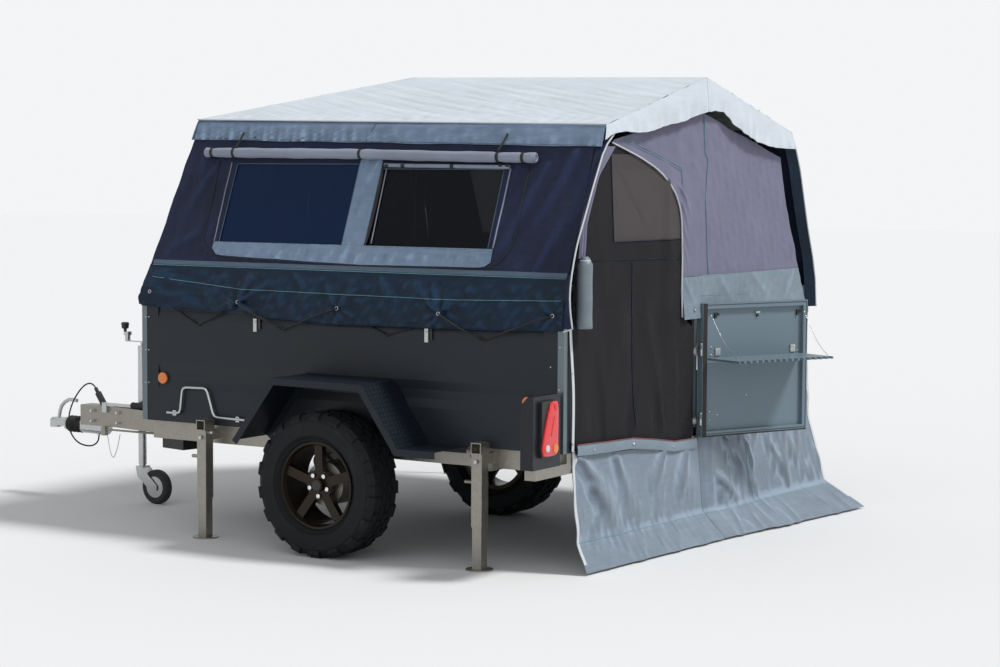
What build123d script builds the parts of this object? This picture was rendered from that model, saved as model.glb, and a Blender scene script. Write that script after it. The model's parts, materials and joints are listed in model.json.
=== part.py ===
import math
import os

from build123d import *

# Frame of the drawing, in millimetres: x forward to the hitch, y to the left, z up.
# x = 0 is the axle, y = 0 the middle of the tub and z = 0 the ground.

# Fits
seat_gap = 0.3
running_gap = 0.06
edge_gap = 0.8
knuckle_gap = 0.5
swing_gap = 6

# Tub
tub_length = 2638
tub_width = 1392
tub_height = 698
tub_bottom_z = 594
tub_rear_x = -1296
wall = 16
floor_thickness = 18
swage_depth = 9
swage_slope = 50
swage_end = 110
swages = [  # lower edge, upper edge of each recess in the side panels
    (766, 911),
    (1143, 1330),
]
corner_leg = 32
corner_thickness = 2
tub_front_x = tub_rear_x + tub_length
tub_top_z = tub_bottom_z + tub_height
half_tub = tub_width / 2
inner_y = half_tub - wall
inner_front_x = tub_front_x - wall
inner_rear_x = tub_rear_x + wall

# Rear doorway and its tailgate
door_width = 746
door_height = 713
door_bottom_z = 541
door_thickness = 30
door_panel = 10
door_frame = 30
door_open_angle = 156
door_hinge_x = tub_rear_x - 40
door_hinge_y = 22 - half_tub
door_edge = 10
door_lap = 34
hinge_radius = 7
hinge_height = 50
hinge_heights = [640, 1010]
shelf_depth = 262
shelf_thickness = 12
shelf_height_z = 951
shelf_start = 45
shelf_end = 701
shelf_pitch = 40
shelf_notch_depth = 24
shelf_notch_width = 22
shelf_barrel_radius = 6
shelf_pin_radius = 3
shelf_pin_reach = 12

# Chassis
rail_height = 100
rail_width = 60
rail_wall = 5
rail_outer_y = half_tub - 36
member_height = 40
member_width = 60
rail_front_x = tub_front_x - 42
leg_x = {"front": tub_front_x - 477, "rear": tub_rear_x + 436}
bumper_half_width = half_tub + 254
bumper_bottom_z = 494
bumper_height = 51
chassis_top_z = tub_bottom_z - seat_gap

# Drawbar
drawbar_bottom_z = 434
drawbar_height = 119.4
drawbar_plate = 6
drawbar_front_x = 2400
drawbar_bend_x = 2120
drawbar_half_gap = 42
drawbar_rear_x = tub_front_x - 442
drawbar_tie = (1470, 1530)
drawbar_splay = 11.1
side_box_x = 1465

# Overrun coupling
coupling_z = 427
coupling_housing_radius = 48
coupling_housing_length = 182
bellows_ribs = 4
shaft_radius = 25
bellows_length = 118
coupling_reach = 110
housing_reach = 12
housing_front_x = drawbar_front_x + housing_reach
bellows_front_x = housing_front_x + bellows_length
ball_x = bellows_front_x + coupling_reach
ball_socket_radius = 25.2
ball_socket_depth = 45
cup_radius = 37
cup_chamfer = 12
handle_radius = 11
handle_line = [(-22, 26), (-40, 105), (-105, 148), (-170, 140)]  # from the ball, x and z
cable_radius = 4.5
cable_x = 2300
cable_start_z = coupling_z - coupling_housing_radius - 12

# Wheels
tyre_diameter = 735
tyre_width = 240
rim_diameter = 426
rim_flange = 8
rim_width = 196
track = tub_width + 280
lug_height = 9
lug_length = 60
lug_count = 18
spoke_count = 5
stud_circle = 112
nut_radius = 12
stub_radius = 20
drum_radius = 112

# Axle
axle_size = 80
axle_x = 150

# Fenders
fender_width = 285
fender_sheet = 3
fender_flange = 35
fender_outline = [(498, 568), (248, 900), (-312, 896), (-527, 595), (-745, 595)]

# Rear lamps
lamp_width = 250
lamp_outer_y = half_tub + fender_width
lamp_top_z = 893
lens_reach = 18
lens_inset = (51, 191)
lens_z = (600, 868)

# Crank clipped to the left side, and the amber reflectors
crank_line = [(-182, 644), (-272, 644), (-290, 785), (-455, 789), (-506, 638), (-836, 634)]
crank_clips = [(-232, 644), (-662, 636)]
crank_radius = 7
crank_bend = 24
reflector_places = [(tub_front_x - 141, 826), (tub_rear_x + 198, 830)]

# Corner legs
leg_outer = 60
leg_wall = 3
leg_slack = 0.5
leg_y = half_tub + 56
leg_tube_bottom_z = 212
leg_tube_top_z = 572
leg_overlap = 138
reflector_radius = 30
foot_radius = 68
foot_thickness = 6
arm_size = 50

# Jockey wheel
jockey_x = 1960
jockey_radius = 24
jockey_wall = 3
jockey_top_z = 920
jockey_bottom_z = 226
jockey_wheel_radius = 100
jockey_wheel_width = 50
jockey_trail = 110
jockey_tyre_chamfer = 11
jockey_slack = 1

# Lid, hinged along the right upper edge of the tub and folded out
lid_depth = 142
lid_wall = 18
lid_hinge_y = -half_tub - 4
lid_hinge_z = tub_top_z + 8
lid_gap = 6
lid_edge_z = tub_top_z
lid_hinge_places = (tub_rear_x + 196, 0, tub_front_x - 242)
lid_hinge_leaf = 60
lid_hinge_drop = 40
lid_knuckle_radius = 3.5
lid_foot_radius = 36
lid_leg_inset = 190
mattress_thickness = 85
mattress_margin = 30
mattress_chamfer = 15

# Tent frame: bows of round tube
bow_radius = 11
bow_pivot_inset = 60
bow_pivot_drop = 25
bow_bend = 90
bow_pin = 6
eave_bar = (half_tub - 395, 2175)
ridge_bar = (lid_hinge_y, 2429)
bow_pitch = 30
bow_rear_x = tub_rear_x + 58
bow_front_x = tub_front_x - 152

# Tent cloth
cloth = 4
pane_thickness = 1.5
windows = [  # rear x, front x, lower z, upper z
    (80, 888, 1560, 1980),
    (-806, -62, 1556, 1956),
]
window_rolls = [  # rear x, front x, z
    (87, 1092, 2036),
    (-983, 54, 2012),
]
window_roll_radius = 28
door_roll_radius = 44
eave_y = half_tub - 331
eave_rear_z = 2173
ridge_rear_z = 2441
roof_rise = 0.0162
ridge_front_x = tub_front_x - 824
roof_front_x = tub_front_x - 128
roof_rear_x = tub_rear_x - 40
eave_front_z = eave_rear_z + roof_rise * (roof_front_x - roof_rear_x)
ridge_front_z = ridge_rear_z + roof_rise * (ridge_front_x - roof_rear_x)
band_drop = 108
sill_y = half_tub - 44
sill_z = tub_top_z + 143
sill_front_x = tub_front_x - 24
hem_front_x = tub_front_x + 14
hem_y = half_tub + 17
hem_front_z = tub_top_z - 52
hem_rear_z = tub_top_z - 100
right_hem_drop = 62
skirt_columns = [  # y, bulge towards the rear
    (-half_tub - 6, 0),
    (-half_tub - 89, 20),
    (-half_tub - 239, 20),
    (-half_tub - 304, 8),
    (lid_hinge_y - tub_width + 42, 0),
]
skirt_levels = [  # z, how far behind the tub the first and the last column stand, share of the bulge
    (1165, seat_gap, seat_gap, 0),
    (900, 6, 6, 1),
    (520, 6, 6, 1),
    (150, 37, 102, 0.5),
    (8, 182, 352, 0),
]
left_skirt_edges = [  # y, then z and how far behind the tub
    (half_tub - 121, [(556, seat_gap), (150, 24), (8, 94)]),
    (lid_hinge_y + 2, [(520, seat_gap), (150, 37), (8, 182)]),
]
rim_offset = corner_thickness + seat_gap + cloth / 2 + 0.1
skirt_y = half_tub + rim_offset
skirt_front_x = tub_front_x + rim_offset

pieces = {}


def block(x, y, z):
    """A box between pairs of limits."""
    middle = [(low + high) / 2 for low, high in (x, y, z)]
    return Pos(*middle) * Box(*[abs(high - low) for low, high in (x, y, z)])


def rod(start, end, radius):
    """A round bar between two points."""
    axis = Vector(*end) - Vector(*start)
    return extrude(Plane(origin=start, z_dir=axis) * Circle(radius), axis.length)


def bent_rod(points, radius, bend, steps=2):
    """A round bar along straight runs, each corner turned in a few short mitred runs."""
    line = [Vector(*points[0])]
    for before, corner, after in zip(points, points[1:], points[2:]):
        corner = Vector(*corner)
        back = (Vector(*before) - corner).normalized()
        ahead = (Vector(*after) - corner).normalized()
        start = corner + back * bend
        end = corner + ahead * bend
        for i in range(steps + 1):
            share = i / steps
            line.append(start * (1 - share) ** 2 + corner * 2 * share * (1 - share) + end * share**2)
    line.append(Vector(*points[-1]))
    path = Polyline(*line)
    face = Plane(origin=path @ 0, z_dir=path % 0) * Circle(radius)
    return sweep(face, path=path, transition=Transition.RIGHT)


def sheet_outline(points, thickness):
    """The closed outline of a sheet of even thickness that follows a folded line, to its left."""
    offset = []
    for i, (px, py) in enumerate(points):
        before = points[max(i - 1, 0)], points[max(i, 1)]
        after = points[min(i, len(points) - 2)], points[min(i + 1, len(points) - 1)]
        normals = []
        for (ax, ay), (bx, by) in (before, after):
            length = math.hypot(bx - ax, by - ay)
            normals.append((-(by - ay) / length, (bx - ax) / length))
        (nx, ny), (mx, my) = normals
        share = thickness / (1 + nx * mx + ny * my)
        offset.append((px + (nx + mx) * share, py + (ny + my) * share))
    return points + offset[::-1]


def prism(outline, plane, depth):
    """A closed outline drawn on a plane and extruded along its normal."""
    return extrude(plane * make_face(Polyline(*outline, close=True)), depth)


def panel(points, thickness=cloth):
    """A flat sheet through points in space, half its thickness to each side."""
    return extrude(make_face(Polyline(*points, close=True)), thickness / 2, both=True)


def folded_panel(points, thickness=cloth):
    """A sheet through four points that aren't in one plane, folded along a diagonal."""
    first, second, third, fourth = points
    return panel([first, second, third], thickness) + panel([first, third, fourth], thickness)


def fuse(shapes):
    """One shape out of many that touch or overlap."""
    whole = shapes[0]
    for shape in shapes[1:]:
        whole = whole + shape
    return whole


def both_sides(name, shape):
    """A left piece and its mirrored right twin, each a node."""
    pieces[name + "_left"] = shape
    pieces[name + "_right"] = mirror(shape, Plane.XZ)


def pair(name, shape):
    """A left piece and its mirrored right twin, in one node."""
    pieces[name] = Compound(children=[shape, mirror(shape, Plane.XZ)])


def ribbed_panel(length, thickness):
    """An upright panel along x whose outer face, at y = 0, has long pressed recesses."""
    whole = block((0, length), (-thickness, 0), (tub_bottom_z, tub_top_z))
    for low, high in swages:
        outline = [
            (1, low),
            (-swage_depth, low + swage_slope),
            (-swage_depth, high - swage_slope),
            (1, high),
        ]
        plane = Plane(origin=(swage_end, 0, 0), x_dir=(0, 1, 0), z_dir=(1, 0, 0))
        whole = whole - prism(outline, plane, length - 2 * swage_end)
    return whole


def lid_hinge_leaves(face_y, near_y, start):
    """Hinge leaves on a face, with their knuckles about the lid's hinge line."""
    leaves = []
    for x in lid_hinge_places:
        low = x + start
        high = low + lid_hinge_leaf
        knuckle = rod((low, lid_hinge_y, lid_hinge_z), (high, lid_hinge_y, lid_hinge_z), lid_knuckle_radius)
        leaf = block((low, high), (near_y, face_y), (lid_hinge_z - lid_hinge_drop, lid_hinge_z))
        leaves += [knuckle, leaf]
    return leaves


def tub():
    side = Pos(tub_rear_x, half_tub, 0) * ribbed_panel(tub_length, wall)
    leaves = lid_hinge_leaves(swage_depth - half_tub, lid_hinge_y + knuckle_gap, 0)
    right_side = fuse([mirror(side, Plane.XZ)] + leaves)
    pieces["side_panels"] = Compound(children=[side, right_side])
    front = Rot(0, 0, -90) * ribbed_panel(2 * inner_y, wall)
    pieces["front_panel"] = Pos(tub_front_x, inner_y, 0) * front
    doorway = block(
        (tub_rear_x - 1, inner_rear_x + 1),
        (door_hinge_y + door_lap, door_hinge_y + door_width - door_lap),
        (tub_bottom_z + 46, door_bottom_z + door_height - door_lap),
    )
    rear = block((tub_rear_x, inner_rear_x), (-inner_y, inner_y), (tub_bottom_z, tub_top_z))
    jamb_y = door_hinge_y + door_width - door_lap
    corner_reach = math.hypot(shelf_depth, shelf_end) + swing_gap
    relief = block(
        (tub_rear_x - 1, inner_rear_x + 1),
        (jamb_y - 1, door_hinge_y + corner_reach),
        (shelf_height_z - swing_gap, shelf_height_z + shelf_thickness + swing_gap),
    )
    pieces["rear_panel"] = rear - doorway - relief
    pieces["tub_floor"] = block(
        (inner_rear_x, inner_front_x),
        (-inner_y, inner_y),
        (tub_bottom_z, tub_bottom_z + floor_thickness),
    )
    edges = []
    for end_x, out_x in ((tub_front_x, 1), (tub_rear_x, -1)):
        for out_y in (1, -1):
            corner = (end_x + out_x * corner_thickness, out_y * (half_tub + corner_thickness))
            along = block(
                (corner[0], end_x - out_x * corner_leg),
                (corner[1], out_y * half_tub),
                (tub_bottom_z, tub_top_z),
            )
            across = block(
                (corner[0], end_x),
                (corner[1], out_y * (half_tub - corner_leg)),
                (tub_bottom_z, tub_top_z),
            )
            edges.append(along + across)
    pieces["corner_edges"] = Compound(children=edges)


def door_place(shape):
    """A tailgate piece, drawn shut with its hinge on the z axis, in its open place."""
    return Pos(door_hinge_x, door_hinge_y, 0) * Rot(0, 0, door_open_angle) * shape


def tailgate():
    top_z = door_bottom_z + door_height
    leaf = block((-door_thickness, 0), (door_edge, door_width), (door_bottom_z, top_z))
    pocket = block(
        (-door_thickness + door_panel, 1),
        (door_edge + door_frame, door_width - door_frame),
        (door_bottom_z + door_frame, top_z - door_frame),
    )
    leaf = leaf - pocket
    knuckles = []
    for z in hinge_heights:
        low = z + knuckle_gap
        plate = block((-hinge_radius, 0), (0, door_edge), (low, z + hinge_height / 2))
        knuckle = Pos(0, 0, low) * extrude(Circle(hinge_radius), z + hinge_height / 2 - low)
        knuckles.append(plate + knuckle)
    pivot = -2
    barrel_z = shelf_height_z + shelf_barrel_radius
    pins = [
        rod((pivot, near, barrel_z), (pivot, far, barrel_z), shelf_pin_radius)
        for near, far in (
            (door_edge + 10, shelf_start + shelf_pin_reach),
            (shelf_end - shelf_pin_reach, door_width - 10),
        )
    ]
    pieces["tailgate"] = door_place(fuse([leaf] + knuckles + pins))
    plate = block(
        (pivot + 4, pivot + shelf_depth),
        (shelf_start, shelf_end),
        (shelf_height_z, shelf_height_z + shelf_thickness),
    )
    barrel = rod((pivot, shelf_start, barrel_z), (pivot, shelf_end, barrel_z), shelf_barrel_radius)
    web = block((pivot, pivot + 5), (shelf_start, shelf_end), (shelf_height_z, barrel_z))
    bore = rod((pivot, shelf_start - 1, barrel_z), (pivot, shelf_end + 1, barrel_z), shelf_pin_radius + running_gap)
    shelf = fuse([plate, barrel, web]) - bore
    count = int((shelf_end - shelf_start) / shelf_pitch)
    tip_x = pivot + shelf_depth
    for i in range(count):
        y = shelf_start + (i + 0.5) * (shelf_end - shelf_start) / count
        notch = [
            (tip_x + 1, y - shelf_notch_width / 2 - 3),
            (tip_x - shelf_notch_depth, y - shelf_notch_width / 2 + 3),
            (tip_x - shelf_notch_depth, y + shelf_notch_width / 2 - 3),
            (tip_x + 1, y + shelf_notch_width / 2 + 3),
        ]
        shelf = shelf - prism(notch, Plane.XY.offset(shelf_height_z - 1), shelf_thickness + 2)
    pieces["tailgate_shelf"] = door_place(shelf)


def chassis():
    parts = []
    for side in (1, -1):
        y = (side * (rail_outer_y - rail_width), side * rail_outer_y)
        rail = block((tub_rear_x + member_width, rail_front_x), y, (chassis_top_z - rail_height, chassis_top_z))
        hollow = block(
            (tub_rear_x, rail_front_x + 1),
            (side * (rail_outer_y - rail_width - 1), side * (rail_outer_y - rail_wall)),
            (chassis_top_z - rail_height + rail_wall, chassis_top_z - rail_wall),
        )
        parts.append(rail - hollow)
        for x in leg_x.values():
            arm = block(
                (x - arm_size / 2, x + arm_size / 2),
                (side * (rail_outer_y - rail_wall), side * (leg_y - leg_outer / 2)),
                (leg_tube_top_z - 52, leg_tube_top_z - 2),
            )
            parts.append(arm)
    reach = rail_outer_y - rail_wall
    for x in (rail_front_x - member_width / 2, leg_x["front"], axle_x, leg_x["rear"]):
        member = block(
            (x - member_width / 2, x + member_width / 2),
            (-reach, reach),
            (chassis_top_z - member_height, chassis_top_z),
        )
        parts.append(member)
    bumper = block(
        (tub_rear_x, tub_rear_x + member_width),
        (-bumper_half_width, bumper_half_width),
        (bumper_bottom_z, bumper_bottom_z + bumper_height),
    )
    posts = [
        block(
            (tub_rear_x, tub_rear_x + member_width),
            (side * (rail_outer_y - rail_width), side * rail_outer_y),
            (bumper_bottom_z, chassis_top_z),
        )
        for side in (1, -1)
    ]
    pieces["chassis_frame"] = fuse(parts + [bumper] + posts)


def drawbar():
    rise = math.tan(math.radians(drawbar_splay))
    rear_y = drawbar_half_gap + (drawbar_bend_x - drawbar_rear_x) * rise
    line = [
        (drawbar_rear_x, rear_y),
        (drawbar_bend_x, drawbar_half_gap),
        (drawbar_front_x, drawbar_half_gap),
    ]
    outline = sheet_outline(line, drawbar_plate)
    plate = prism(outline, Plane.XY.offset(drawbar_bottom_z), drawbar_height)
    top_z = drawbar_bottom_z + drawbar_height
    cover = block((drawbar_bend_x + 40, drawbar_front_x), (-drawbar_half_gap, drawbar_half_gap), (top_z - 5, top_z))
    tie_y = drawbar_half_gap + (drawbar_bend_x - sum(drawbar_tie) / 2) * rise
    tie = block(drawbar_tie, (-tie_y, tie_y), (drawbar_bottom_z + 20, drawbar_bottom_z + 80))
    clamp_y = drawbar_half_gap + (drawbar_bend_x - jockey_x) * rise + drawbar_plate / 2
    clamp = block((jockey_x - 40, jockey_x + 40), (-clamp_y, clamp_y), (470, 530))
    clamp = clamp - rod((jockey_x, 0, 460), (jockey_x, 0, 540), jockey_radius + seat_gap)
    pieces["drawbar"] = fuse([plate, mirror(plate, Plane.XZ), cover, tie, clamp])
    housing_rear_x = housing_front_x - coupling_housing_length
    housing = rod((housing_rear_x, 0, coupling_z), (housing_front_x, 0, coupling_z), coupling_housing_radius)
    pocket = block((housing_rear_x - 1, housing_front_x + 1), (-drawbar_half_gap, drawbar_half_gap), (0, 1000))
    gland = rod((cable_x, 0, cable_start_z), (cable_x, 0, coupling_z), 9)
    pieces["overrun_housing"] = (housing & pocket) + gland


def coupling():
    start = housing_front_x + seat_gap
    pitch = (bellows_front_x - start) / bellows_ribs
    points = [(start, shaft_radius + 2)]
    for i in range(bellows_ribs):
        points.append((start + i * pitch, 36))
        points.append((start + (i + 0.5) * pitch, 50))
    points.append((bellows_front_x, 36))
    points.append((bellows_front_x, shaft_radius + 2))
    face = Plane.XZ * make_face(Polyline(*[(x, z) for x, z in points], close=True))
    bellows = revolve(face, Axis.X)
    pieces["overrun_bellows"] = Pos(0, 0, coupling_z) * bellows
    neck_z = coupling_z + 6
    cup = Pos(ball_x, 0, coupling_z - 25) * extrude(Circle(cup_radius), 56)
    cup = chamfer(cup.edges().group_by(Axis.Z)[-1], cup_chamfer)
    neck = block((bellows_front_x + 5, ball_x), (-26, 26), (neck_z - 20, neck_z + 26))
    flange = rod((bellows_front_x + seat_gap, 0, coupling_z), (bellows_front_x + 15, 0, coupling_z), 40)
    socket = Pos(ball_x, 0, coupling_z - 26) * extrude(Circle(ball_socket_radius), ball_socket_depth + 1)
    head = fuse([cup, neck, flange]) - socket
    handle = [(ball_x + x, 0, coupling_z + z) for x, z in handle_line]
    pieces["coupling_head"] = head + bent_rod(handle, handle_radius, 34)


def wheel():
    """The left wheel, drawn about the y axis with its middle at y = 0 and its face at +y."""
    half = tyre_width / 2
    tip = tyre_diameter / 2
    crown = tip - lug_height + 2
    bead = rim_diameter / 2 + seat_gap
    bead_y = rim_width / 2 - 10 - seat_gap
    bead_top = bead + rim_flange + 3
    low = bead + 42
    shoulder = crown - 38
    outline = [
        (-bead_y, bead),
        (bead_y, bead),
        (bead_y, bead_top),
        (half, low),
        (half, shoulder),
        (half - 30, crown),
        (30 - half, crown),
        (-half, shoulder),
        (-half, low),
        (-bead_y, bead_top),
    ]
    plane = Plane(origin=(0, 0, 0), x_dir=(0, 1, 0), z_dir=(1, 0, 0))
    tyre = revolve(plane * make_face(Polyline(*outline, close=True)), Axis.Y)
    lug_outline = [(50, crown - 8), (half - 34, crown - 8), (half - 6, shoulder), (half, crown - 16), (half - 22, tip), (50, tip)]
    lug = extrude(plane * make_face(Polyline(*lug_outline, close=True)), lug_length / 2, both=True)
    for i in range(lug_count):
        turned = Rot(0, 360 * i / lug_count, 0) * lug
        tyre = tyre + turned
        half_step = Rot(0, 360 * (i + 0.5) / lug_count, 0) * mirror(lug, Plane.XZ)
        tyre = tyre + half_step
    outer = rim_diameter / 2
    edge = rim_width / 2
    barrel = [
        (-edge, outer + rim_flange),
        (-edge + 10, outer + rim_flange),
        (-edge + 10, outer),
        (edge - 10, outer),
        (edge - 10, outer + rim_flange),
        (edge, outer + rim_flange),
        (edge, outer - 4),
        (edge - 22, outer - 14),
        (-edge, outer - 14),
    ]
    rim = revolve(plane * make_face(Polyline(*barrel, close=True)), Axis.Y)
    hub = rod((0, 34, 0), (0, 70, 0), 78)
    spoke_outline = [(34, 60), (70, 60), (76, 130), (78, outer - 8), (48, outer - 8), (40, 120)]
    spoke = extrude(plane * make_face(Polyline(*spoke_outline, close=True)), 24, both=True)
    for i in range(spoke_count):
        hub = hub + Rot(0, 360 * i / spoke_count, 0) * spoke
    rim = rim + hub + rod((0, 60, 0), (0, 92, 0), 33)
    for i in range(spoke_count):
        turn = Rot(0, 360 * (i + 0.5) / spoke_count, 0)
        place = Plane(origin=(0, 60, stud_circle / 2), z_dir=(0, 1, 0))
        rim = rim + turn * extrude(place * RegularPolygon(nut_radius, 6), 18)
    rim = rim - rod((0, 30, 0), (0, 60, 0), stub_radius + running_gap)
    return tyre, rim


def running_gear():
    tyre, rim = wheel()
    place = Pos(0, track / 2, tyre_diameter / 2)
    both_sides("tyre", place * tyre)
    both_sides("wheel_rim", place * rim)
    top_z = chassis_top_z - rail_height - seat_gap
    axle_z = top_z - axle_size / 2
    pieces["axle_tube"] = block(
        (axle_x - axle_size / 2, axle_x + axle_size / 2),
        (-rail_outer_y, rail_outer_y),
        (top_z - axle_size, top_z),
    )
    hub_z = tyre_diameter / 2
    arm_y = rail_outer_y + seat_gap
    pivot = rod((axle_x, arm_y, axle_z), (axle_x, arm_y + 36, axle_z), 44)
    eye = rod((0, arm_y, hub_z), (0, arm_y + 36, hub_z), 40)
    lean = math.atan2(axle_z - hub_z, axle_x)
    across = (44 * -math.sin(lean), 44 * math.cos(lean))
    outline = [
        (across[0], hub_z + across[1] * 0.8),
        (axle_x + across[0] * 0.9, axle_z + across[1] * 0.9),
        (axle_x - across[0] * 0.9, axle_z - across[1] * 0.9),
        (-across[0], hub_z - across[1] * 0.8),
    ]
    plane = Plane(origin=(0, arm_y + 36, 0), x_dir=(1, 0, 0), z_dir=(0, -1, 0))
    arm = fuse([pivot, eye, prism(outline, plane, 36)])
    wheel_y = track / 2
    drum = rod((0, arm_y + 36, hub_z), (0, wheel_y + 20, hub_z), drum_radius)
    stub = rod((0, wheel_y + 20, hub_z), (0, wheel_y + 58, hub_z), stub_radius)
    pair("trailing_arms", fuse([arm, drum, stub]))


def fenders():
    inner = half_tub + seat_gap
    plane = Plane(origin=(0, inner + fender_width, 0), x_dir=(1, 0, 0), z_dir=(0, -1, 0))
    top = prism(sheet_outline(fender_outline, fender_sheet), plane, fender_width)
    rim = prism(sheet_outline(fender_outline, fender_flange), plane, fender_sheet)
    near = Plane(origin=(0, inner + fender_sheet, 0), x_dir=(1, 0, 0), z_dir=(0, -1, 0))
    root = prism(sheet_outline(fender_outline, fender_flange), near, fender_sheet)
    pair("fenders", fuse([top, rim, root]))


def rear_lamps():
    base_z = bumper_bottom_z + bumper_height + seat_gap
    back = tub_rear_x - 4
    outline = [
        (back, base_z),
        (back + 70, base_z),
        (back + 70, lamp_top_z - 43),
        (back + 30, lamp_top_z),
        (back, lamp_top_z),
    ]
    plane = Plane(origin=(0, lamp_outer_y, 0), x_dir=(1, 0, 0), z_dir=(0, -1, 0))
    housing = prism(outline, plane, lamp_width)
    pair("lamp_housings", housing)
    lens = block((back - lens_reach, back), (lamp_outer_y - lens_inset[1], lamp_outer_y - lens_inset[0]), lens_z)
    lens = fillet(lens.edges().filter_by(Axis.X), 14)
    pair("tail_lamps", lens)


def leg_parts():
    tubes = []
    cavity = leg_outer - 2 * leg_wall
    inner = cavity - 2 * leg_slack
    for end, x in leg_x.items():
        for side, out in (("left", 1), ("right", -1)):
            y = out * leg_y
            tube = block(
                (x - leg_outer / 2, x + leg_outer / 2),
                (y - leg_outer / 2, y + leg_outer / 2),
                (leg_tube_bottom_z, leg_tube_top_z),
            )
            bore = block(
                (x - cavity / 2, x + cavity / 2),
                (y - cavity / 2, y + cavity / 2),
                (leg_tube_bottom_z - 1, leg_tube_top_z - 6),
            )
            head = block((x - 29, x + 29), (y - out * 44, y + out * 38), (leg_tube_top_z, leg_tube_top_z + 56))
            mouth = block((x - 24, x + 24), (y - out * 45, y + out * 39), (leg_tube_top_z + 5, leg_tube_top_z + 51))
            screw = rod((x + leg_outer / 2, y, 430), (x + leg_outer / 2 + 55, y, 430), 9)
            tubes.append(fuse([tube - bore, head - mouth, screw]))
            post = block(
                (x - inner / 2, x + inner / 2),
                (y - inner / 2, y + inner / 2),
                (foot_thickness, leg_tube_bottom_z + leg_overlap),
            )
            hollow = block(
                (x - inner / 2 + leg_wall, x + inner / 2 - leg_wall),
                (y - inner / 2 + leg_wall, y + inner / 2 - leg_wall),
                (foot_thickness, leg_tube_bottom_z + leg_overlap + 1),
            )
            foot = Pos(x, y, 0) * extrude(Circle(foot_radius), foot_thickness)
            pieces["leg_" + end + "_" + side] = foot + (post - hollow)
    pieces["leg_tubes"] = Compound(children=tubes)


def jockey():
    bore = jockey_radius - jockey_wall
    tube = rod((jockey_x, 0, jockey_bottom_z), (jockey_x, 0, jockey_top_z), jockey_radius)
    tube = tube - rod((jockey_x, 0, jockey_bottom_z - 1), (jockey_x, 0, jockey_top_z - 8), bore)
    spindle = rod((jockey_x, 0, jockey_top_z), (jockey_x, 0, jockey_top_z + 26), 8)
    arm = block((jockey_x - 10, jockey_x + 118), (-9, 9), (jockey_top_z + 20, jockey_top_z + 26))
    grip = rod((jockey_x + 108, 0, jockey_top_z + 26), (jockey_x + 108, 0, jockey_top_z + 66), 16)
    cap = rod((jockey_x + 108, 0, jockey_top_z + 58), (jockey_x + 108, 0, jockey_top_z + 78), 24)
    pieces["jockey_tube"] = fuse([tube, spindle, arm, grip, cap])
    head_z = 2 * jockey_wheel_radius + 6
    inner = rod((jockey_x, 0, head_z + 10), (jockey_x, 0, 560), bore - jockey_slack)
    pieces["jockey_post"] = inner
    half = jockey_wheel_width / 2 + 5
    axle = (jockey_x - jockey_trail, jockey_wheel_radius)
    crown = block(
        (jockey_x - 26, jockey_x + 24), (-half - 4, half + 4), (head_z, head_z + 10 - running_gap)
    )
    outline = [
        (jockey_x + 24, head_z + 5),
        (jockey_x - 26, head_z + 5),
        (axle[0] - 22, axle[1] + 10),
        (axle[0] - 22, axle[1] - 20),
        (axle[0] + 22, axle[1] - 22),
        (jockey_x + 12, head_z - 50),
    ]
    plane = Plane(origin=(0, half + 4, 0), x_dir=(1, 0, 0), z_dir=(0, -1, 0))
    cheek = prism(outline, plane, 4)
    pin = rod((axle[0], -half - 6, axle[1]), (axle[0], half + 6, axle[1]), 8)
    pieces["jockey_fork"] = fuse([crown, cheek, mirror(cheek, Plane.XZ), pin])
    tread = rod(
        (axle[0], -jockey_wheel_width / 2, axle[1]),
        (axle[0], jockey_wheel_width / 2, axle[1]),
        jockey_wheel_radius,
    )
    tread = chamfer(tread.edges(), jockey_tyre_chamfer)
    core = rod((axle[0], -40, axle[1]), (axle[0], 40, axle[1]), 62)
    pieces["jockey_tyre"] = tread - core
    hub = rod((axle[0], -24, axle[1]), (axle[0], 24, axle[1]), 62)
    pieces["jockey_rim"] = hub - rod((axle[0], -40, axle[1]), (axle[0], 40, axle[1]), 8 + running_gap)


def brake_parts():
    lever = block((1975, 2210), (56, 64), (560, 578))
    grip = rod((1800, 60, 572), (1978, 60, 572), 17)
    boss = block((2180, 2215), (48 + seat_gap, 66), (520, 578))
    pieces["handbrake_lever"] = fuse([lever, grip, boss])
    lug = block((2185, 2215), (44, 74), (384, drawbar_bottom_z - seat_gap))
    axle_front = axle_x + axle_size / 2 + seat_gap
    pieces["brake_rod"] = lug + rod((axle_front, 62, 420), (2190, 62, 420), 6)
    splay = math.radians(drawbar_splay)
    face_y = drawbar_half_gap + (drawbar_bend_x - side_box_x) * math.tan(splay) + drawbar_plate / math.cos(splay)
    turn = Pos(side_box_x, face_y, 0) * Rot(0, 0, -drawbar_splay)
    pieces["side_box"] = turn * block((-92, 92), (seat_gap, 110), (378, 484))


def crank_and_trim():
    y = half_tub + 16
    points = [(tub_front_x + x, y, z) for x, z in crank_line]
    crank = bent_rod(points, crank_radius, crank_bend)
    clips = []
    for offset, z in crank_clips:
        x = tub_front_x + offset
        clips.append(block((x - 12, x + 12), (half_tub + seat_gap, y), (z - 14, z + 14)))
    pieces["leg_crank"] = fuse([crank] + clips)
    discs = []
    for x, z in reflector_places:
        for out in (1, -1):
            face = half_tub - swage_depth
            back = half_tub - 5
            stem = rod((x, out * face, z), (x, out * back, z), 9)
            discs.append(stem + rod((x, out * back, z), (x, out * (half_tub + 6), z), reflector_radius))
    pieces["side_reflectors"] = Compound(children=discs)


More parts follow.
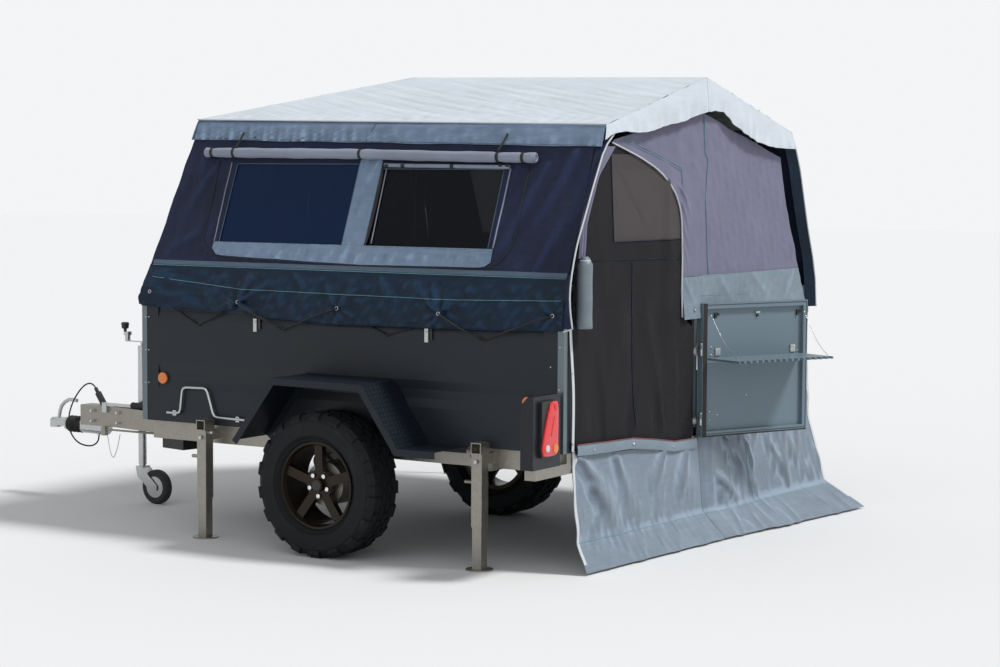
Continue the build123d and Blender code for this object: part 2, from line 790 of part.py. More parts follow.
def lid():
    far_y = lid_hinge_y - lid_gap - tub_width
    near_y = lid_hinge_y - lid_gap
    bottom_z = lid_edge_z - lid_depth
    tray = block((tub_rear_x, tub_front_x), (far_y, near_y), (bottom_z, lid_edge_z))
    hollow = block(
        (tub_rear_x + lid_wall, tub_front_x - lid_wall),
        (far_y + lid_wall, near_y - lid_wall),
        (bottom_z + lid_wall, lid_edge_z + 1),
    )
    tray = tray - hollow
    fittings = lid_hinge_leaves(near_y, lid_hinge_y - knuckle_gap, lid_hinge_leaf + knuckle_gap)
    base_z = bottom_z + lid_wall + seat_gap
    mattress = block(
        (tub_rear_x + lid_wall + mattress_margin, tub_front_x - lid_wall - mattress_margin),
        (far_y + lid_wall + 10, near_y - lid_wall - 10),
        (base_z, base_z + mattress_thickness),
    )
    pieces["mattress"] = chamfer(mattress.edges(), mattress_chamfer)
    pivot = bottom_z - lid_foot_radius - 6
    for end, x in (("front", tub_front_x - lid_leg_inset), ("rear", tub_rear_x + lid_leg_inset)):
        y = far_y + 60
        fittings.append(block((x - 26, x - 20), (y - 20, y + 20), (pivot - 18, bottom_z)))
        fittings.append(rod((x - 26, y, pivot), (x + 18, y, pivot), 6))
        tube = rod((x, y, 8), (x, y, pivot + 14), 14)
        tube = tube - rod((x - 30, y, pivot), (x + 30, y, pivot), 6 + running_gap)
        foot = Pos(x, y, 0) * extrude(Circle(lid_foot_radius), 8)
        pieces["lid_leg_" + end] = tube + foot
    pivot_y = lid_hinge_y - bow_pivot_inset
    pivot_z = lid_hinge_z - bow_pivot_drop
    for x, end in (
        (tub_rear_x + lid_wall, bow_rear_x + 2 * bow_pitch + 18),
        (tub_front_x - lid_wall, bow_front_x - bow_pitch - 18),
    ):
        fittings.append(rod((x, pivot_y, pivot_z), (end, pivot_y, pivot_z), bow_pin))
    pieces["lid_tray"] = fuse([tray] + fittings)


def bow(rear_x, front_x, pivot, bar):
    """A bow: two legs on a pivot line and a bar along x between them."""
    points = [
        (rear_x, pivot[0], pivot[1]),
        (rear_x, bar[0], bar[1]),
        (front_x, bar[0], bar[1]),
        (front_x, pivot[0], pivot[1]),
    ]
    tube = bent_rod(points, bow_radius, bow_bend)
    for x in (rear_x, front_x):
        tube = tube + rod((x - 13, pivot[0], pivot[1]), (x + 13, pivot[0], pivot[1]), 15)
        tube = tube - rod((x - 20, pivot[0], pivot[1]), (x + 20, pivot[0], pivot[1]), bow_pin + running_gap)
    return tube


def tent_frame():
    z = lid_hinge_z - bow_pivot_drop
    pivot = (lid_hinge_y + bow_pivot_inset, z)
    far_pivot = (lid_hinge_y - bow_pivot_inset, z)
    far_bar = (2 * lid_hinge_y - eave_bar[0], eave_bar[1])
    rear = bow_rear_x
    front = bow_front_x
    pieces["bow_left"] = bow(rear, front, pivot, eave_bar)
    pieces["bow_middle"] = bow(rear + bow_pitch, ridge_front_x - 20, pivot, ridge_bar)
    pieces["bow_right"] = bow(rear + 2 * bow_pitch, front - bow_pitch, far_pivot, far_bar)


def tub_fittings():
    """The tailgate's hinges on the tub and the pivot pins of the two bows that it carries."""
    fittings = []
    for z in hinge_heights:
        low = z - hinge_height / 2
        knuckle = Pos(0, 0, low) * extrude(Circle(hinge_radius), hinge_height / 2)
        arm_end = tub_rear_x - corner_thickness - door_hinge_x
        arm = block((0, arm_end - 3), (-3, 3), (low, z))
        foot = block((arm_end - 3, arm_end), (-20, 20), (low - 10, z + 10))
        fittings.append(Pos(door_hinge_x, door_hinge_y, 0) * fuse([knuckle, arm, foot]))
    pivot_y = lid_hinge_y + bow_pivot_inset
    pivot_z = lid_hinge_z - bow_pivot_drop
    for x, end in ((inner_rear_x, bow_rear_x + bow_pitch + 18), (inner_front_x, bow_front_x - 18)):
        fittings.append(rod((x, pivot_y, pivot_z), (end, pivot_y, pivot_z), bow_pin))
    middle = ridge_front_x - 20
    plate = block((middle - 24, middle - 16), (-inner_y, pivot_y + 12), (pivot_z - 12, pivot_z + 12))
    pin = rod((middle - 24, pivot_y, pivot_z), (middle + 18, pivot_y, pivot_z), bow_pin)
    fittings.append(plate + pin)
    pieces["tub_fittings"] = Compound(children=fittings)


def hung_sheet(edges):
    """A sheet between folded edges: for each place along y, its inner points (x, z) from the top down."""
    sections = []
    for y, points in edges:
        plane = Plane(origin=(0, y, 0), x_dir=(1, 0, 0), z_dir=(0, -1, 0))
        outline = sheet_outline(points[::-1], cloth)
        sections.append(plane * make_face(Polyline(*outline, close=True)))
    return loft(sections, ruled=True)


def mirror_lid(points):
    """Points of the left half of the tent, mirrored about the lid's hinge line."""
    return [(x, 2 * lid_hinge_y - y, z) for x, y, z in points]


def wall_y(z):
    """How far out the sloping left wall of the tent stands at a height."""
    return sill_y + (z - sill_z) * (eave_y - sill_y) / (eave_rear_z - sill_z)


def front_x(z):
    """How far forward the sloping front wall of the tent stands at a height."""
    return sill_front_x + (z - sill_z) * (roof_front_x - sill_front_x) / (eave_front_z - sill_z)


def tent():
    mid = lid_hinge_y
    band_rear = eave_rear_z - band_drop
    band_front = eave_front_z - band_drop
    ridge_rear = (roof_rear_x, mid, ridge_rear_z)
    ridge_front = (ridge_front_x, mid, ridge_front_z)
    corner_rear = (roof_rear_x, eave_y, eave_rear_z)
    corner_front = (roof_front_x, eave_y, eave_front_z)
    front_mid = (roof_front_x, mid, eave_front_z)
    slope = [corner_rear, corner_front, ridge_front, ridge_rear]
    hip = [corner_front, front_mid, ridge_front]
    band = [
        corner_rear,
        corner_front,
        (front_x(band_front), wall_y(band_front), band_front),
        (roof_rear_x, wall_y(band_rear), band_rear),
    ]
    front_band = [
        corner_front,
        front_mid,
        (front_x(band_front), mid, band_front),
        (front_x(band_front), wall_y(band_front), band_front),
    ]
    valance = [
        corner_rear,
        (roof_rear_x, 300, 2135),
        (roof_rear_x, -100, 2165),
        (roof_rear_x, -520, 2240),
        (roof_rear_x, mid, 2268),
        ridge_rear,
    ]
    for name, place in (("roof_left", list), ("roof_right", mirror_lid)):
        flat = [panel(place(face)) for face in (slope, hip, valance)]
        folded = [folded_panel(place(face)) for face in (band, front_band)]
        whole = fuse(flat + folded)
        side = 1 if name == "roof_left" else -1
        half_space = block((-3000, 3000), (mid + side, mid + side * 3000), (0, 4000))
        pieces[name] = whole & half_space
    low = sill_z + edge_gap
    top_rear = band_rear - edge_gap
    top_front = band_front - edge_gap
    rear_x = tub_rear_x - 4
    side_wall = [
        (rear_x + 6, wall_y(low), low),
        (front_x(low), wall_y(low), low),
        (front_x(top_front), wall_y(top_front), top_front),
        (rear_x + 6, wall_y(top_rear), top_rear),
    ]
    right_wall = folded_panel(mirror_lid(side_wall))
    left_wall = folded_panel(side_wall)
    panes = []
    right_panes = []
    for rear, front, low_z, high_z in windows:
        left_wall = left_wall - block((rear, front), (0, half_tub), (low_z, high_z))
        right_wall = right_wall - block((rear, front), (2 * mid - half_tub, 2 * mid), (low_z, high_z))
        pane = [
            (rear + seat_gap, wall_y(low_z + edge_gap), low_z + edge_gap),
            (front - seat_gap, wall_y(low_z + edge_gap), low_z + edge_gap),
            (front - seat_gap, wall_y(high_z - edge_gap), high_z - edge_gap),
            (rear + seat_gap, wall_y(high_z - edge_gap), high_z - edge_gap),
        ]
        panes.append(panel(pane, pane_thickness))
        right_panes.append(panel(mirror_lid(pane), pane_thickness))
    pieces["window_panes"] = Compound(children=panes)
    pieces["window_panes_right"] = Compound(children=right_panes)
    front_wall = [
        (front_x(low), wall_y(low), low),
        (front_x(low), mid + edge_gap, low),
        (front_x(top_front), mid + edge_gap, top_front),
        (front_x(top_front), wall_y(top_front), top_front),
    ]
    pieces["wall_left"] = left_wall + folded_panel(front_wall)
    pieces["wall_right"] = right_wall + folded_panel(mirror_lid(front_wall))
    skirt_top = tub_top_z
    side_skirt = [
        [
            (rear_x, wall_y(sill_z), sill_z),
            (front_x(sill_z), wall_y(sill_z), sill_z),
            (skirt_front_x, skirt_y, skirt_top),
            (rear_x, skirt_y, skirt_top),
        ],
        [
            (rear_x, skirt_y, skirt_top),
            (skirt_front_x, skirt_y, skirt_top),
            (skirt_front_x, hem_y, hem_front_z),
            (rear_x, hem_y, hem_rear_z),
        ],
    ]
    front_skirt = [
        [
            (front_x(sill_z), wall_y(sill_z), sill_z),
            (front_x(sill_z), mid + edge_gap, sill_z),
            (skirt_front_x, mid + edge_gap, skirt_top),
            (skirt_front_x, skirt_y, skirt_top),
        ],
        [
            (skirt_front_x, skirt_y, skirt_top),
            (skirt_front_x, mid + edge_gap, skirt_top),
            (hem_front_x, mid + edge_gap, hem_front_z),
            (hem_front_x, hem_y, hem_front_z),
        ],
    ]
    pieces["skirt_left"] = fuse([folded_panel(face) for face in side_skirt + front_skirt])
    low_hem = [side_skirt[0], [p if p[2] >= tub_top_z else (p[0], p[1], p[2] - right_hem_drop) for p in side_skirt[1]]]
    pieces["skirt_right"] = fuse([folded_panel(mirror_lid(face)) for face in low_hem + front_skirt])
    rear_face_x = tub_rear_x - corner_thickness - seat_gap
    door_edge_line = [(-489, 1200), (-489, 1400), (-469, 1620), (-400, 1790), (-240, 1930), (0, 2040), (225, 2085)]
    mesh = [(585, 575), (612, 1000), (632, 1300), (600, 1500), (335, 2085)]
    mesh_right = [(y + edge_gap, z) for y, z in door_edge_line[::-1]] + [(-560, 900), (-560, 575)]
    plane = Plane(origin=(rear_face_x - cloth, 0, 0), x_dir=(0, 1, 0), z_dir=(1, 0, 0))
    pieces["mesh_door"] = prism(mesh + mesh_right, plane, pane_thickness)
    rear_left = [(y, z) for y, z in door_edge_line]
    rear_left += [(232, 2120), (-100, 2158), (-520, 2232), (mid + 2, 2260), (mid + 2, 1200)]
    pieces["rear_wall_left"] = prism(rear_left, plane, cloth)
    rear_right = [
        (mid - 2, 1180),
        (mid - 2, 2260),
        (-880, 2225),
        (-1300, 2120),
        (-1700, 2060),
        (-1760, 1990),
        (-1960, 1400),
        (-2060, 1180),
    ]
    pieces["rear_wall_right"] = Pos(corner_thickness, 0, 0) * prism(rear_right, plane, cloth)
    edges = []
    for y, points in left_skirt_edges:
        edges.append((y, [(tub_rear_x - behind, z) for z, behind in points]))
    pieces["ground_skirt_left"] = hung_sheet(edges)
    edges = []
    first_y = skirt_columns[0][0]
    last_y = skirt_columns[-1][0]
    for y, bulge in skirt_columns:
        share = (y - first_y) / (last_y - first_y)
        edge = [
            (tub_rear_x - near - (far - near) * share - bulge * swell, z)
            for z, near, far, swell in skirt_levels
        ]
        edges.append((y, edge))
    pieces["ground_skirt_right"] = hung_sheet(edges)
    lean = math.atan2(sill_y - eave_y, eave_rear_z - sill_z)
    standoff = (window_roll_radius + cloth / 2 + seat_gap) / math.cos(lean)
    rolls = []
    for rear, front, z in window_rolls:
        y = wall_y(z) + standoff
        rolls.append(rod((rear, y, z), (front, y, z), window_roll_radius))
    roll_x = rear_face_x - cloth - door_roll_radius - seat_gap
    rolls.append(rod((roll_x, 530, 1215), (roll_x, 530, 1530), door_roll_radius))
    pieces["cover_rolls"] = Compound(children=rolls)


def cable(points, radius):
    """A cord's tube: straight runs joined by arcs as large as the runs allow."""
    radii = []
    for a, b, c in zip(points, points[1:], points[2:]):
        first = Vector(*b) - Vector(*a)
        second = Vector(*c) - Vector(*b)
        turn = math.radians(first.get_angle(second))
        radii.append(0.45 * min(first.length, second.length) / math.tan(turn / 2))
    print("cord bend radii in mm:", [round(r, 1) for r in radii])
    path = FilletPolyline(*points, radius=radii)
    print("cord length in mm:", round(path.length, 1))
    return sweep(Plane(origin=path @ 0, z_dir=path % 0) * Circle(radius), path=path)


def tow_lead():
    """The lead of the lamps: out of the overrun housing, round the bellows and up to its parked plug."""
    axis = Vector(68, 0, 97).normalized()
    foot_z = drawbar_bottom_z + drawbar_height + seat_gap + 19 * axis.X
    foot = Vector(2262, 0, foot_z)
    body = foot + axis * 72
    neck = body + axis * 34
    pieces["tow_plug"] = rod(tuple(foot), tuple(body), 19) + rod(tuple(body), tuple(neck), 11)
    points = [
        (cable_x, 0, cable_start_z),
        (cable_x, 0, 334),
        (2336, 28, 302),
        (2412, 64, 322),
        (2466, 78, 398),
        (2476, 68, 496),
        (2456, 34, 594),
        (2402, 6, 672),
        tuple(neck + axis * 34),
        tuple(neck),
    ]
    pieces["tow_cable"] = cable(points, cable_radius)


def main():
    tow_lead()
    tub()
    tailgate()
    chassis()
    drawbar()
    coupling()
    running_gear()
    fenders()
    rear_lamps()
    leg_parts()
    jockey()
    brake_parts()
    crank_and_trim()
    lid()
    tent_frame()
    tub_fittings()
    tent()
    boxes = [shape.bounding_box() for shape in pieces.values()]
    middle_x = (min(box.min.X for box in boxes) + max(box.max.X for box in boxes)) / 2
    middle_y = (min(box.min.Y for box in boxes) + max(box.max.Y for box in boxes)) / 2
    lowest = min(box.min.Z for box in boxes)
    print("origin in the drawing:", middle_x, middle_y, lowest)
    os.makedirs("parts", exist_ok=True)
    for name, shape in pieces.items():
        export_step(Pos(-middle_x, -middle_y, -lowest) * shape, f"parts/{name}.step")


main()
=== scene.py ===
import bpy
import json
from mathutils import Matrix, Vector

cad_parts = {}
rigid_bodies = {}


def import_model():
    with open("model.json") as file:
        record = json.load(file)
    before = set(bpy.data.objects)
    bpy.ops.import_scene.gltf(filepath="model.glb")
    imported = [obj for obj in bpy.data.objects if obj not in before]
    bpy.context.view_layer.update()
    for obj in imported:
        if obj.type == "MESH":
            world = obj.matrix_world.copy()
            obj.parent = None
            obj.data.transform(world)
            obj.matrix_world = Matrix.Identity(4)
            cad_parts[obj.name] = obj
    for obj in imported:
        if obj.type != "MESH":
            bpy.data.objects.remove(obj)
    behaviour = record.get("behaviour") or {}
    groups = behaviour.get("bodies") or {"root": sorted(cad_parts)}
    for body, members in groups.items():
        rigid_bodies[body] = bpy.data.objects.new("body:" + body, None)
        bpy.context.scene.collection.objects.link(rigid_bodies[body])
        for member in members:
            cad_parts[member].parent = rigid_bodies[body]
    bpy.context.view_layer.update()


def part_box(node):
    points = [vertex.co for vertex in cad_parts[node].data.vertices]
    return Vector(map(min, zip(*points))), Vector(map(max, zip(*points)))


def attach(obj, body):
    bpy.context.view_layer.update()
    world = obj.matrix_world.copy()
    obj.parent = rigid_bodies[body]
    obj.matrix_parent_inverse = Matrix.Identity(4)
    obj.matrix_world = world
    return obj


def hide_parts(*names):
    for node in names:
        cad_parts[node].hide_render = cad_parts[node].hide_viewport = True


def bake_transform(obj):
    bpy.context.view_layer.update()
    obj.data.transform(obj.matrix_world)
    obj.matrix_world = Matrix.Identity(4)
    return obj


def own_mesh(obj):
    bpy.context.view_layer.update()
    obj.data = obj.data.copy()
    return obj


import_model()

import json
import math

import bpy
import numpy as np
from mathutils import Matrix, Vector

# Drawing frame, in metres: x forward to the hitch, y to the left, z up.
# x = 0 is the axle, y = 0 the middle of the tub and z = 0 the ground.
left_tyre, right_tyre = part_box("tyre_left"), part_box("tyre_right")
ORIGIN = np.array([(left_tyre[0].x + left_tyre[1].x) / 2, (left_tyre[1].y + right_tyre[0].y) / 2, 0])

SIDES = ("left", "right")
BODY = {"left": "root", "right": "lid"}
OUT = {"left": 1, "right": -1}

TUB_REAR, TUB_SIDE, TUB_TOP = -1.296, 0.696, 1.292
HINGE_Y, HINGE_Z = -0.700, 1.300
SEAM = 0.0013  # half the gap between the tent's two halves
FOLD_Z = {"root": TUB_TOP + 0.0006, "lid": HINGE_Z + 0.0038}  # where each body's cloth lies when shut
EAVE_Y, EAVE_Z, RIDGE_Z = 0.365, 2.173, 2.441
ROOF_REAR, ROOF_FRONT, RIDGE_FRONT, ROOF_RISE = -1.336, 1.214, 0.518, 0.0162
SILL_Y, SILL_Z, SILL_FRONT = 0.652, 1.435, 1.318
BAND_DROP = 0.108
SKIRT_Y, SKIRT_FRONT = 0.7004, 1.3464
REAR_X = TUB_REAR - 0.0063
CLOTH, STRIP_CLOTH, BAND_CLOTH, PATCH_CLOTH, THIN_CLOTH = 0.0024, 0.0018, 0.0016, 0.0014, 0.0008
WINDOWS = [(0.082, 0.886, 1.562, 1.978), (-0.804, -0.064, 1.558, 1.954)]
WALL_SEED = {"left": 0, "right": 5}
APRON_SEED = {"left": 0, "right": 7}
APRON_DROP = {"left": 0, "right": 0.055}

scene = bpy.context.scene
for thing in list(bpy.data.objects):
    if thing.name in ("Cube", "Light", "Camera"):
        bpy.data.objects.remove(thing)


def at(x, y, z):
    """A point of the drawing in the model's frame."""
    return np.array([ORIGIN[0] + x, ORIGIN[1] + y, z])


def lerp(a, b, share):
    return a + (b - a) * share


def smooth(low, high, value):
    share = np.clip((value - low) / (high - low), 0, 1)
    return share * share * (3 - 2 * share)


def follow(value, knots):
    """The height of a broken line of (place, height) knots, at each value."""
    return np.interp(value, *zip(*sorted(knots)))


def swapped(knots):
    return [(b, a) for a, b in knots]


def sway(a, b, size, seed, layers=4):
    """Soft uneven waves of about one size, from -1 to 1, over two lengths."""
    total = 0
    for i in range(layers):
        turn = seed * 1.7 + i * 2.4
        pace = 2 * math.pi / size * 1.37**i
        along = a * math.cos(turn) + b * math.sin(turn)
        total = total + np.sin(pace * along + seed * 5.1 + i) / 1.3**i
    return total / 2.4


def creases(a, b, lines):
    """Raised creases along lines: start a, start b, end a, end b, width, height at the start."""
    total = 0
    for a0, b0, a1, b1, width, height in lines:
        da, db = a1 - a0, b1 - b0
        share = np.clip(((a - a0) * da + (b - b0) * db) / (da * da + db * db), 0, 1)
        away = np.hypot(a - a0 - da * share, b - b0 - db * share)
        total = total + height * (1 - share) ** 0.7 * np.exp(-((away / (width * (0.45 + share))) ** 2))
    return total


def spread(low, high, count, stops=()):
    """Even steps between two limits that also land on the stops."""
    values = set(np.linspace(low, high, count).round(5))
    step = (high - low) / (count - 1)
    for stop in stops:
        values = {v for v in values if abs(v - stop) > abs(step) * 0.4}
        values.add(round(float(stop), 5))
    return np.array(sorted(values))


def across(count, low=0, high=1):
    """Steps along the columns of a sheet."""
    return spread(low, high, count)[None, :]


def down(count, low=0, high=1):
    """Steps along the rows of a sheet."""
    return spread(low, high, count)[:, None]


def grid(x, y, z):
    """Points from three coordinates, each of which may vary over rows, columns, both or not at all."""
    return np.stack(np.broadcast_arrays(x, y, z), axis=-1)


def mirrored(points, side):
    """Points of the tent's left half as they are, or mirrored about the lid's hinge line."""
    points = np.array(points, dtype=float)
    if side == "right":
        points[..., 1] = 2 * HINGE_Y - points[..., 1]
    return points


def half(points, side):
    """A sheet of the tent's left half, or of the right one with its columns turned to face outwards."""
    points = mirrored(points, side)
    return points if side == "left" else points[:, ::-1]


# Materials


class Wire:
    """A value that travels between nodes. Arithmetic on it adds Math nodes."""

    def __init__(self, finish, socket):
        self.finish = finish
        self.socket = socket

    def math(self, operation, *values):
        return self.finish.node("ShaderNodeMath", {"operation": operation}, dict(enumerate(values)))

    def __add__(self, other):
        return self.math("ADD", self, other)

    def __sub__(self, other):
        return self.math("SUBTRACT", self, other)

    def __mul__(self, other):
        return self.math("MULTIPLY", self, other)

    def __truediv__(self, other):
        return self.math("DIVIDE", self, other)

    def __pow__(self, other):
        return self.math("POWER", self, other)

    def __radd__(self, other):
        return self.math("ADD", other, self)

    def __rsub__(self, other):
        return self.math("SUBTRACT", other, self)

    def __rmul__(self, other):
        return self.math("MULTIPLY", other, self)

    def sine(self):
        return self.math("SINE", self)

    def at_least(self, other):
        return self.math("MAXIMUM", self, other)

    def at_most(self, other):
        return self.math("MINIMUM", self, other)

    def between(self, low, high):
        """0 below low, 1 above high and smooth in between."""
        sockets = {"Value": self, "From Min": low, "From Max": high}
        return self.finish.node("ShaderNodeMapRange", {"interpolation_type": "SMOOTHSTEP"}, sockets)


class NodeTree:
    """The nodes of a material or of the surroundings."""

    def __init__(self, tree):
        self.tree = tree

    def node(self, kind, settings, sockets, output=0):
        """Adds a node, sets it up, then fills its sockets with values or wires."""
        node = self.tree.nodes.new(kind)
        for key, value in settings.items():
            setattr(node, key, value)
        for key, value in sockets.items():
            if isinstance(value, Wire):
                self.tree.links.new(value.socket, node.inputs[key])
            else:
                node.inputs[key].default_value = value
        return Wire(self, node.outputs[output]) if len(node.outputs) else None


class Finish(NodeTree):
    """One material."""

    def __init__(self, name, **values):
        self.material = bpy.data.materials.new(name)
        self.material.use_nodes = True
        super().__init__(self.material.node_tree)
        self.shader = next(n for n in self.tree.nodes if n.type == "BSDF_PRINCIPLED")
        self.place = self.node("ShaderNodeTexCoord", {}, {}, "Object")
        self.x, self.y, self.z = [
            self.node("ShaderNodeSeparateXYZ", {}, {0: self.place}, i) for i in range(3)
        ]
        for socket, value in values.items():
            self.set(socket.replace("_", " "), value)

    def set(self, socket, value):
        """Puts a wire or a plain value on a socket of the surface shader."""
        if isinstance(value, Wire):
            self.tree.links.new(value.socket, self.shader.inputs[socket])
        else:
            self.shader.inputs[socket].default_value = (*value, 1) if socket == "Base Color" else value

    def noise(self, scale, detail=3, roughness=0.5, stretch=None):
        where = self.place
        if stretch:
            sockets = {"Vector": self.place, "Scale": stretch}
            where = self.node("ShaderNodeMapping", {"vector_type": "POINT"}, sockets)
        sockets = {"Vector": where, "Scale": scale, "Detail": detail, "Roughness": roughness}
        return self.node("ShaderNodeTexNoise", {}, sockets)

    def mix(self, share, first, second):
        """A colour between two, by a share."""
        sockets = {0: share, 6: (*first, 1) if isinstance(first, tuple) else first}
        sockets[7] = (*second, 1) if isinstance(second, tuple) else second
        return self.node("ShaderNodeMix", {"data_type": "RGBA"}, sockets, 2)

    def bump(self, height, distance, strength=1.0, under=None):
        sockets = {"Height": height, "Distance": distance, "Strength": strength}
        if under:
            sockets["Normal"] = under
        return self.node("ShaderNodeBump", {}, sockets)


def shade(colour, factor):
    return tuple(min(1.0, c * factor) for c in colour)


WEAVE_PITCH, PLATE_PITCH = 0.0011, 0.030
DOOR_WINDOW = [(0.268, 2.034), (0.231, 1.600), (-0.475, 1.600)]  # y and z, down its side and along its sill
DOOR_WINDOW_LEAN = 0.086


def canvas(name, colour, rough=0.85, wear_and_highlight=1.35, sheen=0.15, crumple=0.004, shine=0.4, rub_and_highlight=0.0, folds=0.10):
    """Woven tent cloth: a plain weave, fine crumples, faint streaks, pale lines of rubbed wear and painted
    highlight, painted highlights on the folds' crests and painted shade in their hollows.
    """
    finish = Finish(name, Roughness=rough, Sheen_Weight=sheen, Sheen_Roughness=0.5, Specular_IOR_Level=shine)
    pace = 2 * math.pi / WEAVE_PITCH
    warp = (finish.x * pace).sine()
    weft = ((finish.z + finish.y * 0.9) * pace).sine()
    cloudy = finish.noise(3.2, 4, 0.6)
    streaky = finish.noise(9.0, 3, 0.5, (1.0, 1.0, 7.0))
    tone = (cloudy * 0.65 + streaky * 0.35).between(0.3, 0.72)
    woven = finish.mix((warp * weft).between(-1.0, 1.0), shade(colour, 0.86), shade(colour, 1.0))
    # Paler patches at random: wear, set strong on the dark apron cloth so that they also stand in for painted
    # highlights.
    base = finish.mix(tone * 0.45, woven, shade(colour, wear_and_highlight))
    # Pale lines along noise contours: whitened rubbed wear, and painted highlights standing in for the shine of
    # folds.
    if rub_and_highlight:
        away = finish.noise(6.5, 3, 0.5, (1.0, 1.0, 0.45)) - 0.5
        rubbed_highlight_lines = (0.045 - (away * away) ** 0.5).between(0.0, 0.045) * cloudy.between(0.42, 0.62)
        base = finish.mix(rubbed_highlight_lines * rub_and_highlight, base, tuple(c * 0.5 + 0.10 for c in shade(colour, wear_and_highlight)))
    # Painted fold light and shade: cloth that stands proud of its surroundings is painted lighter, as if lit,
    # and cloth in a hollow darker, as if shaded.
    relief_for_shading = finish.node("ShaderNodeAttribute", {"attribute_name": "relief"}, {}, "Fac")
    base = finish.mix(relief_for_shading.between(0.0, 1.0) * folds, base, shade(colour, wear_and_highlight * 2.2))
    base = finish.mix((0.0 - relief_for_shading).between(0.0, 1.0) * folds * 1.6, base, shade(colour, 0.45))
    finish.set("Base Color", base)
    weave = finish.bump(warp * weft, 0.0002, 0.35)
    crumpled = finish.noise(13.0, 4, 0.55, (1.0, 1.0, 0.6)) - 0.5
    finish.set("Normal", finish.bump((crumpled * crumpled * 9.0).at_most(1.0), crumple, 0.6, weave))
    return finish.material


def metal(name, colour, rough, spangle=0.0, dirt=0.25, metallic=0.9):
    """Bare or plated metal, with crystal patches where it is hot dipped."""
    finish = Finish(name, Metallic=metallic)
    cloudy = finish.noise(14.0, 4, 0.6)
    base = finish.mix(cloudy * dirt, colour, shade(colour, 0.55))
    if spangle:
        sockets = {"Vector": finish.place, "Scale": 75.0}
        patch = finish.node("ShaderNodeTexVoronoi", {"feature": "F1"}, sockets, "Color")
        tone = finish.node("ShaderNodeRGBToBW", {}, {"Color": patch})
        base = finish.mix(tone * spangle, base, shade(colour, 1.5))
        finish.set("Roughness", tone * 0.16 + (rough - 0.08))
    else:
        finish.set("Roughness", cloudy * 0.2 + (rough - 0.1))
    finish.set("Base Color", base)
    finish.set("Normal", finish.bump(finish.noise(160.0, 3), 0.0002, 0.25))
    return finish.material


def coated(name, colour, rough, grain=240.0, depth=0.00012, dust=0.25, shine=0.5):
    """Painted or moulded surface with a fine grain and a little dust."""
    finish = Finish(name, Specular_IOR_Level=shine)
    dusty = finish.noise(5.0, 5, 0.65).between(0.45, 0.8) * dust
    finish.set("Base Color", finish.mix(dusty, colour, (0.16, 0.14, 0.115)))
    finish.set("Roughness", dusty * 0.5 + rough)
    finish.set("Normal", finish.bump(finish.noise(grain, 3), depth, 0.5))
    return finish.material


def lens(name, colour, painted_glow):
    """Clear coloured plastic over ribbed prisms, with a faint painted glow."""
    finish = Finish(name, Roughness=0.12, Coat_Weight=0.6, Coat_Roughness=0.05)
    pace = 900.0
    ribs = ((finish.z * pace).sine() * (finish.y * pace + finish.x * pace).sine()).between(-0.7, 0.7)
    finish.set("Base Color", finish.mix(ribs, shade(colour, 0.55), colour))
    # Emission is a painted glow: the lenses and the side reflectors, which are no lamps, give off a little
    # light of their own.
    finish.set("Emission Color", finish.mix(ribs, shade(colour, 0.4), colour))
    finish.set("Emission Strength", painted_glow)
    finish.set("Normal", finish.bump(ribs, 0.0008, 0.5))
    return finish.material


def net(name, colour, cover):
    """Fine insect netting, half seen through, with painted upright streaks of highlight and shade on its folds,
    and a window in the door painted pale brownish grey for the lit background seen through it.
    """
    finish = Finish(name, Roughness=0.8, Specular_IOR_Level=0.2)
    cloudy = finish.noise(5.0, 4, 0.6, (1.0, 1.0, 0.3))
    (_, head_z), (corner_y, sill_z), _ = DOOR_WINDOW
    side_line = (finish.z - sill_z) * DOOR_WINDOW_LEAN + (corner_y + float(ORIGIN[1])) - finish.y
    above_sill = finish.z.between(sill_z - 0.001, sill_z + 0.003)
    below_head = (head_z - finish.z).between(0.0, 0.004)
    window = above_sill * below_head * side_line.between(0.0, 0.004)
    # Upright streaks painted darker and lighter: painted shade and highlights on the netting's folds.
    painted_fold_streaks = finish.mix(cloudy, shade(colour, 0.6), shade(colour, 1.9))
    # The window's pale brownish grey is painted light: it stands in for the lit background seen through the
    # clear window.
    finish.set("Base Color", finish.mix(window, painted_fold_streaks, (0.080, 0.068, 0.069)))
    solid = cloudy * 0.2 + (cover - 0.10)
    finish.set("Alpha", (solid * (1.0 - window * 0.16)).at_most(1.0))
    return finish.material


def film(name, colour, cover):
    """Window film with soft waves."""
    finish = Finish(name, Roughness=0.22, Alpha=cover, Specular_IOR_Level=0.15, Base_Color=colour)
    finish.set("Normal", finish.bump(finish.noise(4.0, 2), 0.006, 0.4))
    return finish.material


def checker_plate(name, colour):
    """Coated tread plate: raised lozenges, turned by a quarter from one to the next."""
    finish = Finish(name, Roughness=0.36, Base_Color=colour, Specular_IOR_Level=0.3)
    pace = 2 * math.pi / PLATE_PITCH
    run = (finish.x + finish.y + finish.z) * pace
    cross = (finish.x - finish.y - finish.z) * pace
    one = (run.sine() - (cross * 0.5).sine() ** 2 * 0.8).between(0.35, 0.75)
    two = (cross.sine() - (run * 0.5).sine() ** 2 * 0.8).between(0.35, 0.75)
    finish.set("Normal", finish.bump(one.at_least(two), 0.0016, 0.8))
    return finish.material


def tyre_rubber(name, colour):
    """Rubber with fine cuts across the tread."""
    finish = Finish(name, Roughness=0.75, Specular_IOR_Level=0.25)
    dusty = finish.noise(18.0, 4).between(0.5, 0.85) * 0.07
    finish.set("Base Color", finish.mix(dusty, colour, (0.13, 0.11, 0.085)))
    cuts = (finish.y * 420.0).sine().between(0.75, 0.95)
    finish.set("Normal", finish.bump(finish.noise(220.0, 3) - cuts * 0.7, 0.0006, 0.5))
    return finish.material


